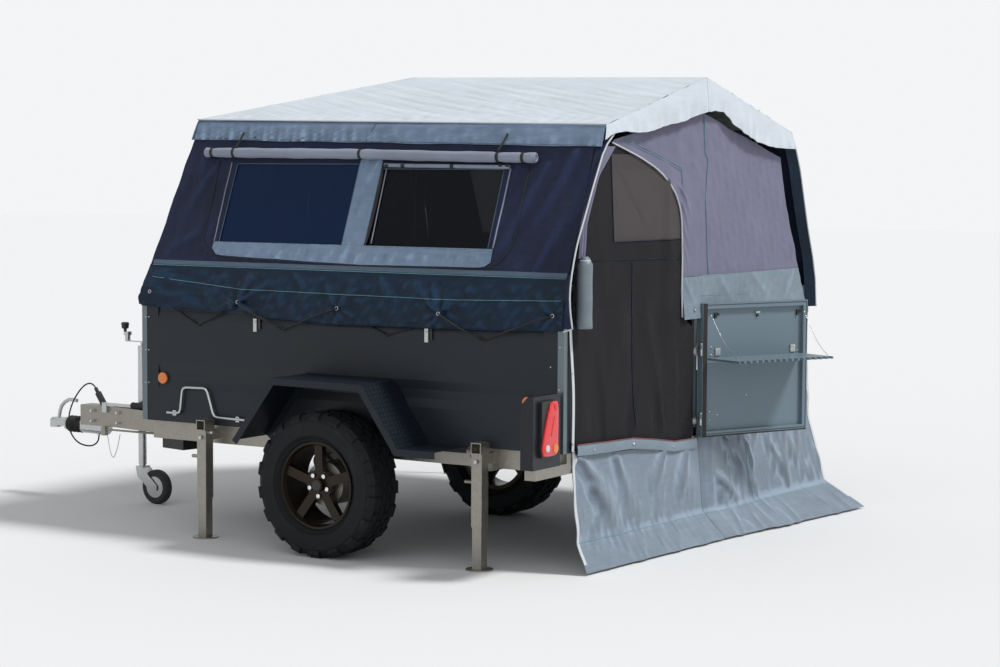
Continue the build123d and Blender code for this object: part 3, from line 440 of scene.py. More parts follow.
GALVANISED = metal("galvanised_steel", (0.30, 0.285, 0.25), 0.42, 0.4)
ZINC = metal("plated_steel", (0.52, 0.53, 0.53), 0.25)
ALUMINIUM = metal("edge_aluminium", (0.15, 0.19, 0.21), 0.36, dirt=0.15, metallic=0.6)
ALLOY = metal("bronze_alloy", (0.026, 0.019, 0.012), 0.33, dirt=0.4, metallic=0.7)
CHROME = metal("bright_chrome", (0.78, 0.79, 0.80), 0.14, dirt=0.05)
PANEL = coated("anthracite_panel", (0.011, 0.015, 0.021), 0.38, 90.0, 0.00025, 0.02, 0.3)
GATE = coated("tailgate_coating", (0.140, 0.192, 0.228), 0.36, 90.0, 0.0002, 0.06, 0.4)
BLACK_SHEET = coated("black_coated_sheet", (0.007, 0.009, 0.014), 0.34, 130.0, 0.0002, 0.04, 0.35)
BLACK_PLASTIC = coated("black_plastic", (0.010, 0.010, 0.011), 0.42, 300.0, 0.0001, 0.15)
RUBBER = coated("black_rubber", (0.011, 0.011, 0.012), 0.7, 200.0, 0.0003, 0.12)
WEBBING = coated("black_webbing", (0.012, 0.012, 0.013), 0.8, 900.0, 0.0005, 0.1)
ELASTIC = coated("black_elastic", (0.010, 0.010, 0.011), 0.75, 1200.0, 0.0004, 0.05)
RED_PIPING = coated("red_piping", (0.20, 0.055, 0.045), 0.6)
CHECKER = checker_plate("black_checker_plate", (0.005, 0.009, 0.015))
TYRE = tyre_rubber("tyre_rubber", (0.007, 0.009, 0.011))
RED = lens("red_lens", (0.78, 0.014, 0.020), 0.10)
AMBER = lens("amber_lens", (0.80, 0.20, 0.004), 0.08)
CLEAR = lens("clear_lens", (0.72, 0.72, 0.74), 0.0)
ROOF = canvas("roof_canvas", (0.55, 0.60, 0.65), 0.8, 1.2, crumple=0.003, folds=0.16)
BAND = canvas("grey_canvas", (0.145, 0.205, 0.295), 0.7, 1.7, 0.08, 0.010, rub_and_highlight=0.25, folds=0.22)
NAVY = canvas("navy_canvas", (0.0045, 0.0085, 0.028), 0.85, 2.8, 0.03, 0.007, folds=0.16)
SKIRT = canvas("dark_apron_cloth", (0.0020, 0.0095, 0.0220), 0.40, 3.6, 0.0, 0.014, 0.20, folds=0.22)
SILL = canvas("blue_grey_canvas", (0.065, 0.10, 0.145), 0.75, 1.5)
LILAC = canvas("lilac_canvas", (0.135, 0.132, 0.205), 0.88, 1.25)
REAR_BAND = canvas("grey_apron_cloth", (0.15, 0.20, 0.245), 0.6, 1.5, crumple=0.008)
GROUND = canvas("ground_apron_cloth", (0.150, 0.190, 0.235), 0.6, 1.6, crumple=0.008, folds=0.20)
ROLLED = canvas("rolled_cover_cloth", (0.21, 0.235, 0.30), 0.7, 1.5)
DOOR_ROLL = canvas("door_roll_cloth", (0.15, 0.185, 0.21), 0.4, 1.5, sheen=0.02)
PIPING = canvas("light_piping", (0.55, 0.58, 0.60), 0.7, 1.1)
THREAD = canvas("teal_thread", (0.11, 0.27, 0.30), 0.7, 1.3)
PAD = canvas("mattress_ticking", (0.42, 0.40, 0.37), 0.9, 1.15)
NET = net("insect_netting", (0.012, 0.011, 0.013), 0.88)
PANE_BLUE = film("blue_window_film", (0.0, 0.012, 0.050), 0.90)
PANE_DARK = film("dark_window_film", (0.002, 0.003, 0.006), 0.68)

NODE_FINISHES = [
    (PANEL, "side_panels front_panel rear_panel tub_floor lid_tray"),
    (ALUMINIUM, "corner_edges"),
    (GATE, "tailgate tailgate_shelf"),
    (GALVANISED, "chassis_frame axle_tube trailing_arms drawbar leg_tubes leg_front_left leg_front_right"),
    (GALVANISED, "leg_rear_left leg_rear_right brake_rod lid_leg_front lid_leg_rear"),
    (GALVANISED, "bow_left bow_middle bow_right"),
    (ZINC, "jockey_tube jockey_post jockey_fork jockey_rim leg_crank coupling_head overrun_housing"),
    (ZINC, "tub_fittings handbrake_lever"),
    (CHECKER, "fenders"),
    (BLACK_SHEET, "lamp_housings"),
    (BLACK_PLASTIC, "side_box tow_plug tail_lamps"),
    (RUBBER, "overrun_bellows jockey_tyre"),
    (TYRE, "tyre_left tyre_right"),
    (ALLOY, "wheel_rim_left wheel_rim_right"),
    (AMBER, "side_reflectors"),
]
for finish, names in NODE_FINISHES:
    for name in names.split():
        node = bpy.data.objects[name]
        if not node.material_slots:
            node.data.materials.append(finish)
        for place in node.material_slots:
            place.material = finish


# Pieces


def turns(count):
    """The angles of the corners round a full turn."""
    return [2 * math.pi * i / count for i in range(count)]


def facing(centre, out):
    """The middle of a round part and its three directions: out, aside and up."""
    out = np.array(out, dtype=float)
    out = out / np.linalg.norm(out)
    side = np.cross(out, (0.3, 0.2, 0.9))
    side = side / np.linalg.norm(side)
    return np.array(centre, dtype=float), out, side, np.cross(out, side)


class Shape:
    """Faces gathered for one piece, as points of the drawing."""

    def __init__(self):
        self.points = []
        self.faces = []

    def add(self, points, faces):
        start = len(self.points)
        self.points += [tuple(float(c) for c in p) for p in points]
        self.faces += [tuple(start + i for i in face) for face in faces]

    def rows(self, rows, closed=False, caps=False):
        """A skin over rows of points of even length."""
        count = len(rows[0])
        faces = []
        for r in range(len(rows) - 1):
            for c in range(count if closed else count - 1):
                d = (c + 1) % count
                faces.append((r * count + c, r * count + d, (r + 1) * count + d, (r + 1) * count + c))
        if caps:
            last = (len(rows) - 1) * count
            faces.append(tuple(reversed(range(count))))
            faces.append(tuple(last + i for i in range(count)))
        self.add([p for row in rows for p in row], faces)

    def tube(self, line, radius, sides=10, flat=1.0):
        """A round bar along a line; radius may be one for each point."""
        line = [np.array(p, dtype=float) for p in line]
        radii = radius if hasattr(radius, "__len__") else [radius] * len(line)
        ahead = [line[min(i + 1, len(line) - 1)] - line[max(i - 1, 0)] for i in range(len(line))]
        side = np.cross(ahead[0], (0, 0, 1))
        if np.linalg.norm(side) < 1e-6 * np.linalg.norm(ahead[0]) + 1e-9:
            side = np.array([1.0, 0, 0])
        rows = []
        for centre, way, r in zip(line, ahead, radii):
            way = way / np.linalg.norm(way)
            side = side - way * side.dot(way)
            side = side / np.linalg.norm(side)
            up = np.cross(side, way)
            rows.append([centre + (side * math.cos(t) + up * math.sin(t) * flat) * r for t in turns(sides)])
        self.rows(rows, closed=True, caps=True)

    def block(self, centre, a, b, c):
        """A box from its middle and three half edges."""
        centre, a, b, c = [np.array(v, dtype=float) for v in (centre, a, b, c)]
        corners = [centre + i * a + j * b + k * c for i in (-1, 1) for j in (-1, 1) for k in (-1, 1)]
        faces = [(0, 1, 3, 2), (4, 6, 7, 5), (0, 4, 5, 1), (2, 3, 7, 6), (0, 2, 6, 4), (1, 5, 7, 3)]
        if np.dot(np.cross(a, b), c) < 0:
            faces = [tuple(reversed(f)) for f in faces]
        self.add(corners, faces)

    def strap(self, line, across_half, thick):
        """A flat band along a line; across_half is half its width."""
        line = [np.array(p, dtype=float) for p in line]
        side = np.array(across_half, dtype=float)
        rows = []
        for i, p in enumerate(line):
            way = line[min(i + 1, len(line) - 1)] - line[max(i - 1, 0)]
            out = np.cross(way, side)
            out = out / np.linalg.norm(out) * thick / 2
            rows.append([p - side - out, p + side - out, p + side + out, p - side + out])
        self.rows(rows, closed=True, caps=True)

    def turned(self, centre, out, profile, sides):
        """A round part from its profile of radius and height."""
        centre, out, side, up = facing(centre, out)
        rows = []
        for ring, lift in profile:
            rows.append([
                centre + out * lift + (side * math.cos(t) + up * math.sin(t)) * ring for t in turns(sides)
            ])
        self.rows(rows, closed=True, caps=True)

    def dome(self, centre, out, radius, height):
        """A round head on a face."""
        leans = [math.pi / 2 * i / 3 * 0.92 for i in range(4)]
        self.turned(centre, out, [(radius * math.cos(a), height * math.sin(a)) for a in leans], 10)

    def disc(self, centre, out, radius, height, sides=16, bevel=0.15):
        """A low round disc with a turned edge."""
        profile = [(radius, 0), (radius, height * (1 - bevel)), (radius * (1 - bevel), height)]
        self.turned(centre, out, profile, sides)

    def ring(self, centre, out, major, minor, sides=18, around=6):
        """A round eyelet."""
        centre, out, side, up = facing(centre, out)
        section = [(major + minor * math.cos(s), minor * math.sin(s)) for s in turns(around)]
        rows = []
        for t in turns(sides):
            way = side * math.cos(t) + up * math.sin(t)
            rows.append([centre + way * reach + out * lift for reach, lift in section])
        self.rows([*rows, rows[0]], closed=True)

    def piece(self, name, finish, body="root", slot=None, replaces=(), soft=False):
        """Makes the object and hangs it on its body."""
        mesh = bpy.data.meshes.new(name)
        mesh.from_pydata([(x + ORIGIN[0], y + ORIGIN[1], z) for x, y, z in self.points], [], self.faces)
        mesh.materials.append(finish)
        mesh.polygons.foreach_set("use_smooth", [True] * len(mesh.polygons))
        mesh.update()
        thing = bpy.data.objects.new(name, mesh)
        scene.collection.objects.link(thing)
        if body:
            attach(thing, body)
        if replaces:
            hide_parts(*replaces)
        if soft:
            fold_away(thing, body)
        return thing


def fold_away(thing, body="root", axis=(0, 0, 1), anchor=None, keep=0.0015):
    """Gives the piece a mesh of its own."""
    if anchor is None:
        anchor = at(0, HINGE_Y, FOLD_Z[body])
    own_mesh(thing)


def sharp(thing, angle=35):
    """Keeps hard edges hard on a smooth shaded piece."""
    thing.data.set_sharp_from_angle(angle=math.radians(angle))
    return thing


def trim(name, finish, body, slot, *tubes, replaces=()):
    """A soft piece made of tubes: line, radius, sides and, for a flattened one, its thickness share."""
    shape = Shape()
    for tube in tubes:
        shape.tube(*tube)
    return shape.piece(name, finish, body, slot, replaces, soft=True)


RELIEF_STEP = 3
RELIEF_HEIGHT = 0.0045


def relief(sheet, out):
    """How far each point of a cloth stands proud of, or lies below, the cloth round it: 1 to -1."""
    around = np.zeros_like(sheet)
    for axis in (0, 1):
        last = sheet.shape[axis] - 1
        places = np.arange(last + 1)
        reach = np.minimum(RELIEF_STEP, np.minimum(places, last - places))
        around += np.take(sheet, places - reach, axis=axis) + np.take(sheet, places + reach, axis=axis)
    proud = np.sum((sheet - around / 4) * out, axis=2)
    return np.clip(proud / RELIEF_HEIGHT, -1, 1)


def cloth(name, sheet, finish, body, slot, replaces=(), keep=None, thick=CLOTH, squash=None):
    """A sheet of cloth over rows of points, with its own thickness; keep says which cells stay."""
    sheet = np.array(sheet, dtype=float)
    rows, columns = sheet.shape[:2]
    out = np.cross(np.gradient(sheet, axis=1), np.gradient(sheet, axis=0))
    out = out / (np.linalg.norm(out, axis=2, keepdims=True) + 1e-12)
    if keep is None:
        keep = np.ones((rows - 1, columns - 1), dtype=bool)
    back = rows * columns
    faces = []
    for r in range(rows - 1):
        for c in range(columns - 1):
            if not keep[r, c]:
                continue
            a, b = r * columns + c, r * columns + c + 1
            d, e = a + columns, b + columns
            faces.append((a, b, e, d))
            faces.append((back + a, back + d, back + e, back + b))
            if r == 0 or not keep[r - 1, c]:
                faces.append((a, back + a, back + b, b))
            if r == rows - 2 or not keep[r + 1, c]:
                faces.append((d, e, back + e, back + d))
            if c == 0 or not keep[r, c - 1]:
                faces.append((a, d, back + d, back + a))
            if c == columns - 2 or not keep[r, c + 1]:
                faces.append((b, back + b, back + e, e))
    points = np.concatenate([sheet + out * thick / 2, sheet - out * thick / 2]).reshape(-1, 3)
    used = sorted({i for face in faces for i in face})
    renumber = {old: new for new, old in enumerate(used)}
    shape = Shape()
    shape.add(points[used], [tuple(renumber[i] for i in face) for face in faces])
    thing = sharp(shape.piece(name, finish, body, slot, replaces), 60)
    # Each point's relief is kept on the mesh to drive the canvas finish's painted fold light and shade.
    if min(rows, columns) > 2 * RELIEF_STEP:
        relief_for_shading = relief(sheet, out).reshape(-1)
        values = thing.data.attributes.new("relief", "FLOAT", "POINT")
        values.data.foreach_set("value", np.concatenate([relief_for_shading, relief_for_shading])[used].astype(np.float32))
    fold_away(thing, **(squash or {"body": body}))
    return thing


# Camera, light and floor

camera = bpy.data.objects.new("camera", bpy.data.cameras.new("camera"))
scene.collection.objects.link(camera)
scene.camera = camera
CAMERA_PLACE = (-6.58666, 9.72769, 1.94937)
CAMERA_LENS, SENSOR_WIDTH = 79.19, 36
yaw, pitch, roll = -1.01176799, -0.07398424, 0.00549896
forward = Vector((math.cos(yaw) * math.cos(pitch), math.sin(yaw) * math.cos(pitch), math.sin(pitch)))
right = forward.cross(Vector((0, 0, 1))).normalized()
upward = right.cross(forward)
right_rolled = right * math.cos(roll) + upward * math.sin(roll)
up_rolled = upward * math.cos(roll) - right * math.sin(roll)
camera.data.sensor_width = SENSOR_WIDTH
camera.data.lens = CAMERA_LENS
camera.data.clip_end = 200
turned = np.eye(4)
for column, values in enumerate((right_rolled, up_rolled, -forward, at(*CAMERA_PLACE))):
    turned[:3, column] = values
camera.matrix_world = Matrix(turned)

# Name, strength, breadth in the sky and the way it shines
SUNS = (("sun", 2.6, 0.20, (0.60, 0.22, -0.85)), ("fill", 0.45, 1.2, (0.25, -0.85, -0.5)))
for name, energy, angle, way in SUNS:
    lamp = bpy.data.objects.new(name, bpy.data.lights.new(name, "SUN"))
    lamp.data.energy = energy
    lamp.data.angle = angle
    lamp.rotation_euler = Vector(way).to_track_quat("-Z", "Y").to_euler()
    scene.collection.objects.link(lamp)

world = bpy.data.worlds.new("studio")
scene.world = world
world.use_nodes = True
world.node_tree.nodes.clear()
sky = NodeTree(world.node_tree)
studio_light = sky.node("ShaderNodeBackground", {}, {"Color": (0.93, 0.96, 1.0, 1), "Strength": 0.50})
seen_white = sky.node("ShaderNodeBackground", {}, {"Color": (0.90, 0.91, 0.92, 1), "Strength": 1.0})
RAYS = ("Is Camera Ray", "Is Glossy Ray", "Is Transmission Ray")
camera_ray, glossy_ray, clear_ray = [sky.node("ShaderNodeLightPath", {}, {}, ray) for ray in RAYS]
seen = camera_ray.at_least(glossy_ray * 0.6).at_least(clear_ray)
surroundings = sky.node("ShaderNodeMixShader", {}, {0: seen, 1: studio_light, 2: seen_white})
sky.node("ShaderNodeOutputWorld", {}, {"Surface": surroundings})

floor_mesh = bpy.data.meshes.new("floor")
floor_mesh.from_pydata([(-60, -60, 0), (60, -60, 0), (60, 60, 0), (-60, 60, 0)], [], [(0, 1, 2, 3)])
floor = bpy.data.objects.new("floor", floor_mesh)
scene.collection.objects.link(floor)
floor_finish = Finish("pale_floor", Base_Color=(0.74, 0.74, 0.735), Roughness=0.9, Specular_IOR_Level=0.1)
floor_mesh.materials.append(floor_finish.material)
scene.view_settings.view_transform = "Standard"


# Lead of the lamps

LEAD_ROUTE = [
    (2.300, 0, 0.367), (2.300, 0, 0.334), (2.336, 0.028, 0.302), (2.412, 0.064, 0.322), (2.466, 0.078, 0.398),
    (2.476, 0.068, 0.496), (2.456, 0.034, 0.594), (2.402, 0.006, 0.672), (2.34236, 0, 0.67924),
    (2.32285, 0, 0.65140),
]
lead_curve = bpy.data.curves.new("tow_lead", "CURVE")
lead_curve.dimensions = "3D"
lead_line = lead_curve.splines.new("NURBS")
lead_line.points.add(len(LEAD_ROUTE) - 1)
for knot, place in zip(lead_line.points, LEAD_ROUTE):
    knot.co = (*at(*place), 1)
lead_line.order_u = 3
lead_line.use_endpoint_u = True
lead_curve.bevel_depth = 0.0045
lead_curve.bevel_resolution = 4
lead_curve.resolution_u = 24
lead_curve.use_fill_caps = True
lead_curve.materials.append(RUBBER)
lead = bpy.data.objects.new("tow_lead", lead_curve)
scene.collection.objects.link(lead)
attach(lead, "root")
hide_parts("tow_cable")
at(*LEAD_ROUTE[0])


# Tent roof


def eave_z(x):
    return EAVE_Z + ROOF_RISE * (x - ROOF_REAR)


def ridge_z(x):
    return RIDGE_Z + ROOF_RISE * (x - ROOF_REAR)


def wall_y(z):
    return SILL_Y + (z - SILL_Z) * (EAVE_Y - SILL_Y) / (EAVE_Z - SILL_Z)


def front_x(z):
    return SILL_FRONT + (z - SILL_Z) * (ROOF_FRONT - SILL_FRONT) / (eave_z(ROOF_FRONT) - SILL_Z)


def roof_skin(side):
    seed = {"left": 1, "right": 4}[side]
    a, b = across(150), down(64)
    arch = np.sin(math.pi * b)
    x = lerp(ROOF_REAR, lerp(ROOF_FRONT, RIDGE_FRONT, b), a)
    y = lerp(EAVE_Y, HINGE_Y + SEAM, b)
    sag = -0.014 * arch * np.sin(math.pi * a) ** 0.5
    drawn = 0.0034 * sway(x * 0.9 + y * 1.6, y * 0.2, 0.16, seed) * arch**0.5
    fine = 0.0030 * sway(x * 1.2 + y * 2.2, y * 0.1, 0.055, seed + 2) * smooth(0, 0.25, b) * smooth(1, 0.6, b)
    folds = 0.007 * (1 - np.abs(sway(x * 0.75 + y * 1.7, 0, 0.34, seed + 6))) ** 5 * arch
    pulls = 0.0050 * np.abs(np.sin(x * 38 + 2.2 * sway(x, y, 0.5, seed + 3))) * smooth(0.30, 0.0, b)
    z = lerp(eave_z(x), ridge_z(x), b) + sag + drawn + (fine + folds)
    z = z + pulls * (1 - smooth(0.0, 0.03, 0.03 - b)) + 0.002
    skin = half(grid(x, y, z), side)[::-1]
    sheet = cloth("roof_canvas_" + side, skin, ROOF, BODY[side], "roof_cloth", ["roof_" + side])
    # Hipped front, from the eave bar up to the ridge's end
    v = down(40)[:-1, :, None]
    low = grid(ROOF_FRONT, lerp(EAVE_Y, HINGE_Y + SEAM, across(60)), eave_z(ROOF_FRONT))
    high = np.array([RIDGE_FRONT, HINGE_Y + SEAM, ridge_z(RIDGE_FRONT)])
    points = low * (1 - v) + high * v
    arch = np.sin(math.pi * v[:, :, 0])
    waves = 0.0018 * sway(points[:, :, 0] * 1.4, points[:, :, 1], 0.12, seed + 5)
    points[:, :, 2] += -0.008 * arch + waves * arch
    sheet = cloth("roof_front_" + side, half(points, side)[::-1], ROOF, BODY[side], "roof_cloth")


def eave_band(side):
    seed = {"left": 2, "right": 6}[side]
    x, v = across(220, ROOF_REAR + 0.002, ROOF_FRONT + 0.008), down(14)
    z = eave_z(x) + 0.002 - v * (BAND_DROP + 0.004 * sway(x, 0, 0.5, seed))
    ruffled = smooth(0.0, 0.9, v) * (0.3 + 0.7 * smooth(-0.2, 0.4, x))
    ripple = 0.0105 * np.sin(x * 118 + 4 * sway(x, 0, 0.31, seed) + v * 2)
    ripple = ripple * (0.4 + 0.6 * sway(x, v, 0.22, seed + 1)) * ruffled
    ripple = ripple + 0.004 * sway(x, v * 0.1, 0.16, seed + 4) * smooth(0, 0.6, v)
    y = wall_y(z) + 0.007 + ripple + 0.006 * v * (1 - v) - smooth(0.2, 0.0, v) * 0.006
    sheet = cloth("eave_band_" + side, half(grid(x, y, z), side), BAND, BODY[side], "roof_cloth")
    y = across(90, HINGE_Y + SEAM, EAVE_Y + 0.004)
    z = eave_z(ROOF_FRONT) + 0.002 - v * (BAND_DROP + 0.003 * sway(y, 0, 0.4, seed + 2))
    ripple = 0.006 * np.sin(y * 85 + 3 * sway(y, 0, 0.3, seed)) * smooth(0, 0.9, v)
    x = front_x(z) + 0.007 + ripple - smooth(0.2, 0.0, v) * 0.005
    y = y + 0.30 * v * BAND_DROP * smooth(EAVE_Y - 0.2, EAVE_Y, y)
    sheet = cloth(
        "eave_band_front_" + side, half(grid(x, y, z)[:, ::-1], side), BAND, BODY[side], "roof_cloth",
    )


VALANCE = {
    "left": [
        (EAVE_Y + 0.008, 2.100), (0.30, 2.135), (0.20, 2.147), (0.05, 2.143), (-0.06, 2.150), (-0.16, 2.168),
        (-0.268, 2.190), (-0.412, 2.208), (-0.54, 2.234), (-0.661, 2.258), (HINGE_Y + SEAM, 2.264),
    ],
    "right": [
        (HINGE_Y - SEAM, 2.264), (-0.789, 2.273), (-0.90, 2.268), (-0.95, 2.238), (-0.991, 2.211),
        (-1.126, 2.165), (-1.296, 2.117), (-1.477, 2.092), (-1.62, 2.084), (-1.7745, 2.080),
    ],
}


def valance(side):
    """The scalloped end of the roof over the rear gable."""
    knots = VALANCE[side]
    y, v = across(110, min(knots)[0], max(knots)[0]), down(20)
    hem = follow(y, knots) + 0.002 * sway(y, 0, 0.2, 3)
    reach = np.clip(np.abs(y - HINGE_Y) / (EAVE_Y - HINGE_Y), 0, 1.02)
    z = lerp(lerp(RIDGE_Z, EAVE_Z, reach) + 0.002, hem, v)
    x = ROOF_REAR - 0.002 - 0.010 * np.sin(math.pi * v * 0.5) + 0.006 * sway(y, z, 0.23, 5) * v
    x = x + 0.003 * np.sin(y * 60 + 2 * sway(y, 0, 0.3, 2)) * v
    near_eave = smooth(EAVE_Y - 0.20, EAVE_Y + 0.008, np.abs(y - HINGE_Y) + HINGE_Y)
    spread_out = (wall_y(z) + 0.011 - EAVE_Y - 0.008) * near_eave * OUT[side]
    points = grid(x, y + np.where(z < EAVE_Z, spread_out, 0), z)
    sheet = cloth("roof_valance_" + side, points[:, ::-1], ROOF, BODY[side], "roof_cloth")
    trim("valance_binding_" + side, PIPING, BODY[side], "roof_cloth", (points[-1, ::2], 0.0028, 6))


for side in SIDES:
    roof_skin(side)
    eave_band(side)
    valance(side)


# Tent walls

WALL_CREASES = [
    (-1.05, 1.98, -0.86, 1.50, 0.030, 0.010), (-1.20, 2.05, -1.02, 1.55, 0.035, 0.012),
    (-1.10, 1.46, -1.24, 1.85, 0.030, 0.009), (1.05, 1.60, 1.26, 1.50, 0.030, 0.006),
    (1.04, 1.95, 1.20, 1.60, 0.030, 0.007), (1.14, 2.06, 1.06, 1.75, 0.028, 0.006),
    (0.45, 1.43, 0.52, 1.55, 0.03, 0.003), (0.7, 1.43, 0.63, 1.56, 0.02, 0.003),
]
WALL_FOOT, WALL_HEAD = 1.4355, 2.135
WALL_BEND = 0.95  # in front of it the wall's columns lean with the front corner


def side_wall(x, z, seed=0):
    """The sloping side wall as a surface over x and z."""
    inside = smooth(0.0, 0.05, z - SILL_Z) * smooth(2.07, 2.03, z)
    windowed = 1.0
    for rear, front, low, high in WINDOWS:
        beside = smooth(rear - 0.05, rear, x) * smooth(front + 0.05, front, x)
        windowed = windowed * (1 - beside * smooth(low - 0.05, low, z) * smooth(high + 0.05, high, z))
    lift = 1.7 * creases(x, z, WALL_CREASES) * inside
    lift = lift + 0.0045 * sway(x * 1.5, z * 0.6, 0.26, 3 + seed) * inside * windowed
    lift = lift + 0.0020 * sway(x * 1.4, z * 0.5, 0.07, 8 + seed) * inside * windowed
    lean = math.atan2(SILL_Y - EAVE_Y, EAVE_Z - SILL_Z)
    return grid(x, wall_y(z) + lift * math.cos(lean), z + lift * math.sin(lean))


def wall(side):
    seed = WALL_SEED[side]
    along = spread(TUB_REAR + 0.003, 1.0, 130, [edge for w in WINDOWS for edge in w[:2]])
    levels = spread(WALL_FOOT, WALL_HEAD, 48, [edge for w in WINDOWS for edge in w[2:]])
    bend = (np.linspace(WALL_BEND, 1.0, 24) - WALL_BEND) / 0.05
    x = np.array([[*along[along < WALL_BEND - 0.001], *lerp(WALL_BEND, front_x(z), bend)] for z in levels])
    z = levels[:, None]
    mid_x, mid_z = (x[:-1, :-1] + x[:-1, 1:]) / 2, (z[:-1] + z[1:]) / 2
    keep = np.ones(mid_x.shape, dtype=bool)
    for rear, front, low, high in WINDOWS:
        keep &= ~((rear < mid_x) & (mid_x < front) & (low < mid_z) & (mid_z < high))
    keep = keep[::-1] if side == "left" else keep[::-1, ::-1]
    skin = half(side_wall(x, z, seed)[::-1], side)
    sheet = cloth("side_wall_" + side, skin, NAVY, BODY[side], "blue_cloth", ["wall_" + side], keep)
    openings = sum((front - rear) * (high - low) for rear, front, low, high in WINDOWS)
    cut = 2.56 * 0.74 - openings
    y = lerp(HINGE_Y + SEAM, wall_y(z), across(70))
    lift = 0.005 * sway(y * 1.3, z * 0.7, 0.3, 11 + seed) * smooth(1.44, 1.5, z)
    lift = lift + 0.0015 * sway(y * 1.5, z * 0.5, 0.08, 12 + seed)
    skin = half(grid(front_x(z) + lift, y, z)[::-1, ::-1], side)
    sheet = cloth("front_wall_" + side, skin, NAVY, BODY[side], "blue_cloth")
    cut = 1.20 * 0.70


def window_pane(side, place, window, seed, finish):
    rear, front, low, high = window
    x, z = across(30, rear - 0.006, front + 0.006), down(16, low - 0.006, high + 0.006)
    points = side_wall(x, z)
    points[:, :, 1] += -0.0036 + 0.0015 * sway(x, z, 0.3, seed)
    pane = cloth(
        place + "_pane_" + side, half(points[::-1], side), finish, BODY[side], "pane",
        ["window_panes" if side == "left" else "window_panes_right"], thick=THIN_CLOTH,
    )
    flat = (front - rear + 0.012, (high - low) * 1.07 + 0.012)


for side in SIDES:
    wall(side)
    window_pane(side, "front", WINDOWS[0], 7, PANE_BLUE if side == "left" else PANE_DARK)
    window_pane(side, "rear", WINDOWS[1], 8, PANE_DARK)


# Aprons over the tub's rim

APRON_TOP = 1.436
APRON_BEND = 0.93  # in front of it the apron's columns lean with the front corner
APRON_HEM = [
    (-1.36, 1.196), (-1.301, 1.186), (-1.044, 1.176), (-0.51, 1.168), (0.054, 1.163), (0.507, 1.180),
    (0.689, 1.212), (0.80, 1.203), (0.959, 1.198), (1.325, 1.214), (1.36, 1.222),
]
FRONT_HEM = [(-0.7, 1.225), (0.3, 1.232), (0.7, 1.216)]
EYELETS = [(-1.244, 1.258), (-0.600, 1.245), (0.025, 1.247), (0.669, 1.256), (1.284, 1.290)]
# For each eyelet, by its place in the list: where its creases end, their width and height
EYELET_CREASES = [
    (3, 0.76, 1.42, 0.020, -0.014), (3, 0.60, 1.43, 0.018, 0.012), (3, 0.46, 1.38, 0.020, 0.010),
    (3, 0.55, 1.19, 0.018, 0.016), (3, 0.83, 1.22, 0.018, 0.010), (3, 0.70, 1.19, 0.012, -0.010),
    (2, 0.12, 1.38, 0.018, 0.010), (2, -0.08, 1.37, 0.018, 0.009), (2, 0.00, 1.18, 0.016, 0.008),
    (1, -0.40, 1.42, 0.024, 0.016), (1, -0.52, 1.42, 0.018, 0.012), (1, -0.70, 1.36, 0.018, 0.008),
    (1, -0.56, 1.18, 0.016, 0.010), (0, -1.12, 1.38, 0.020, 0.010), (0, -1.20, 1.20, 0.016, 0.008),
]
APRON_CREASES = [(*EYELETS[i], *crease) for i, *crease in EYELET_CREASES] + [
    (0.35, 1.43, 0.20, 1.30, 0.020, 0.008), (-0.20, 1.43, -0.30, 1.30, 0.022, 0.008),
    (1.20, 1.41, 1.02, 1.28, 0.026, 0.008),
]


def over_rim(z, at_rim, at_sill):
    """An apron's run from the wall's sill out over the rim and down, leaning out a little."""
    over = at_rim + (z - TUB_TOP) * (at_sill - at_rim) / (SILL_Z - TUB_TOP)
    under = at_rim + (TUB_TOP - z) * 0.11
    share = smooth(TUB_TOP - 0.012, TUB_TOP + 0.012, z)
    return under * (1 - share) + over * share


def apron_y(z):
    return over_rim(z, SKIRT_Y, SILL_Y)


def apron_front_x(z):
    return over_rim(z, SKIRT_FRONT, SILL_FRONT)


def apron_lift(x, z, seed):
    loose = smooth(1.43, 1.38, z)
    lift = 2.6 * creases(x, z, APRON_CREASES) if seed == 0 else 1.2 * creases(x + 0.05, z, APRON_CREASES)
    lift = lift + 0.0065 * sway(x, z * 1.4, 0.20, 2 + seed) + 0.0034 * sway(x, z * 0.9, 0.075, 5 + seed)
    lift = lift + 0.005 * np.abs(sway(x * 1.1, z * 0.5, 0.13, 9 + seed)) * loose
    for ex, ez in EYELETS:
        away = np.hypot(x - ex, z - ez)
        turn = np.arctan2(z - ez, x - ex)
        rays = np.abs(np.cos(turn * 4.5 + ex * 9)) * (away / 0.06) * np.exp(-((away / 0.075) ** 2))
        lift = (lift + 0.016 * rays) * (1 - 0.8 * np.exp(-((away / 0.022) ** 2)))
    return np.clip(lift * loose, -0.003, 0.030)


def side_apron(x, z, seed=0):
    return grid(x, apron_y(z) + 0.002 + apron_lift(x, z, seed), z)


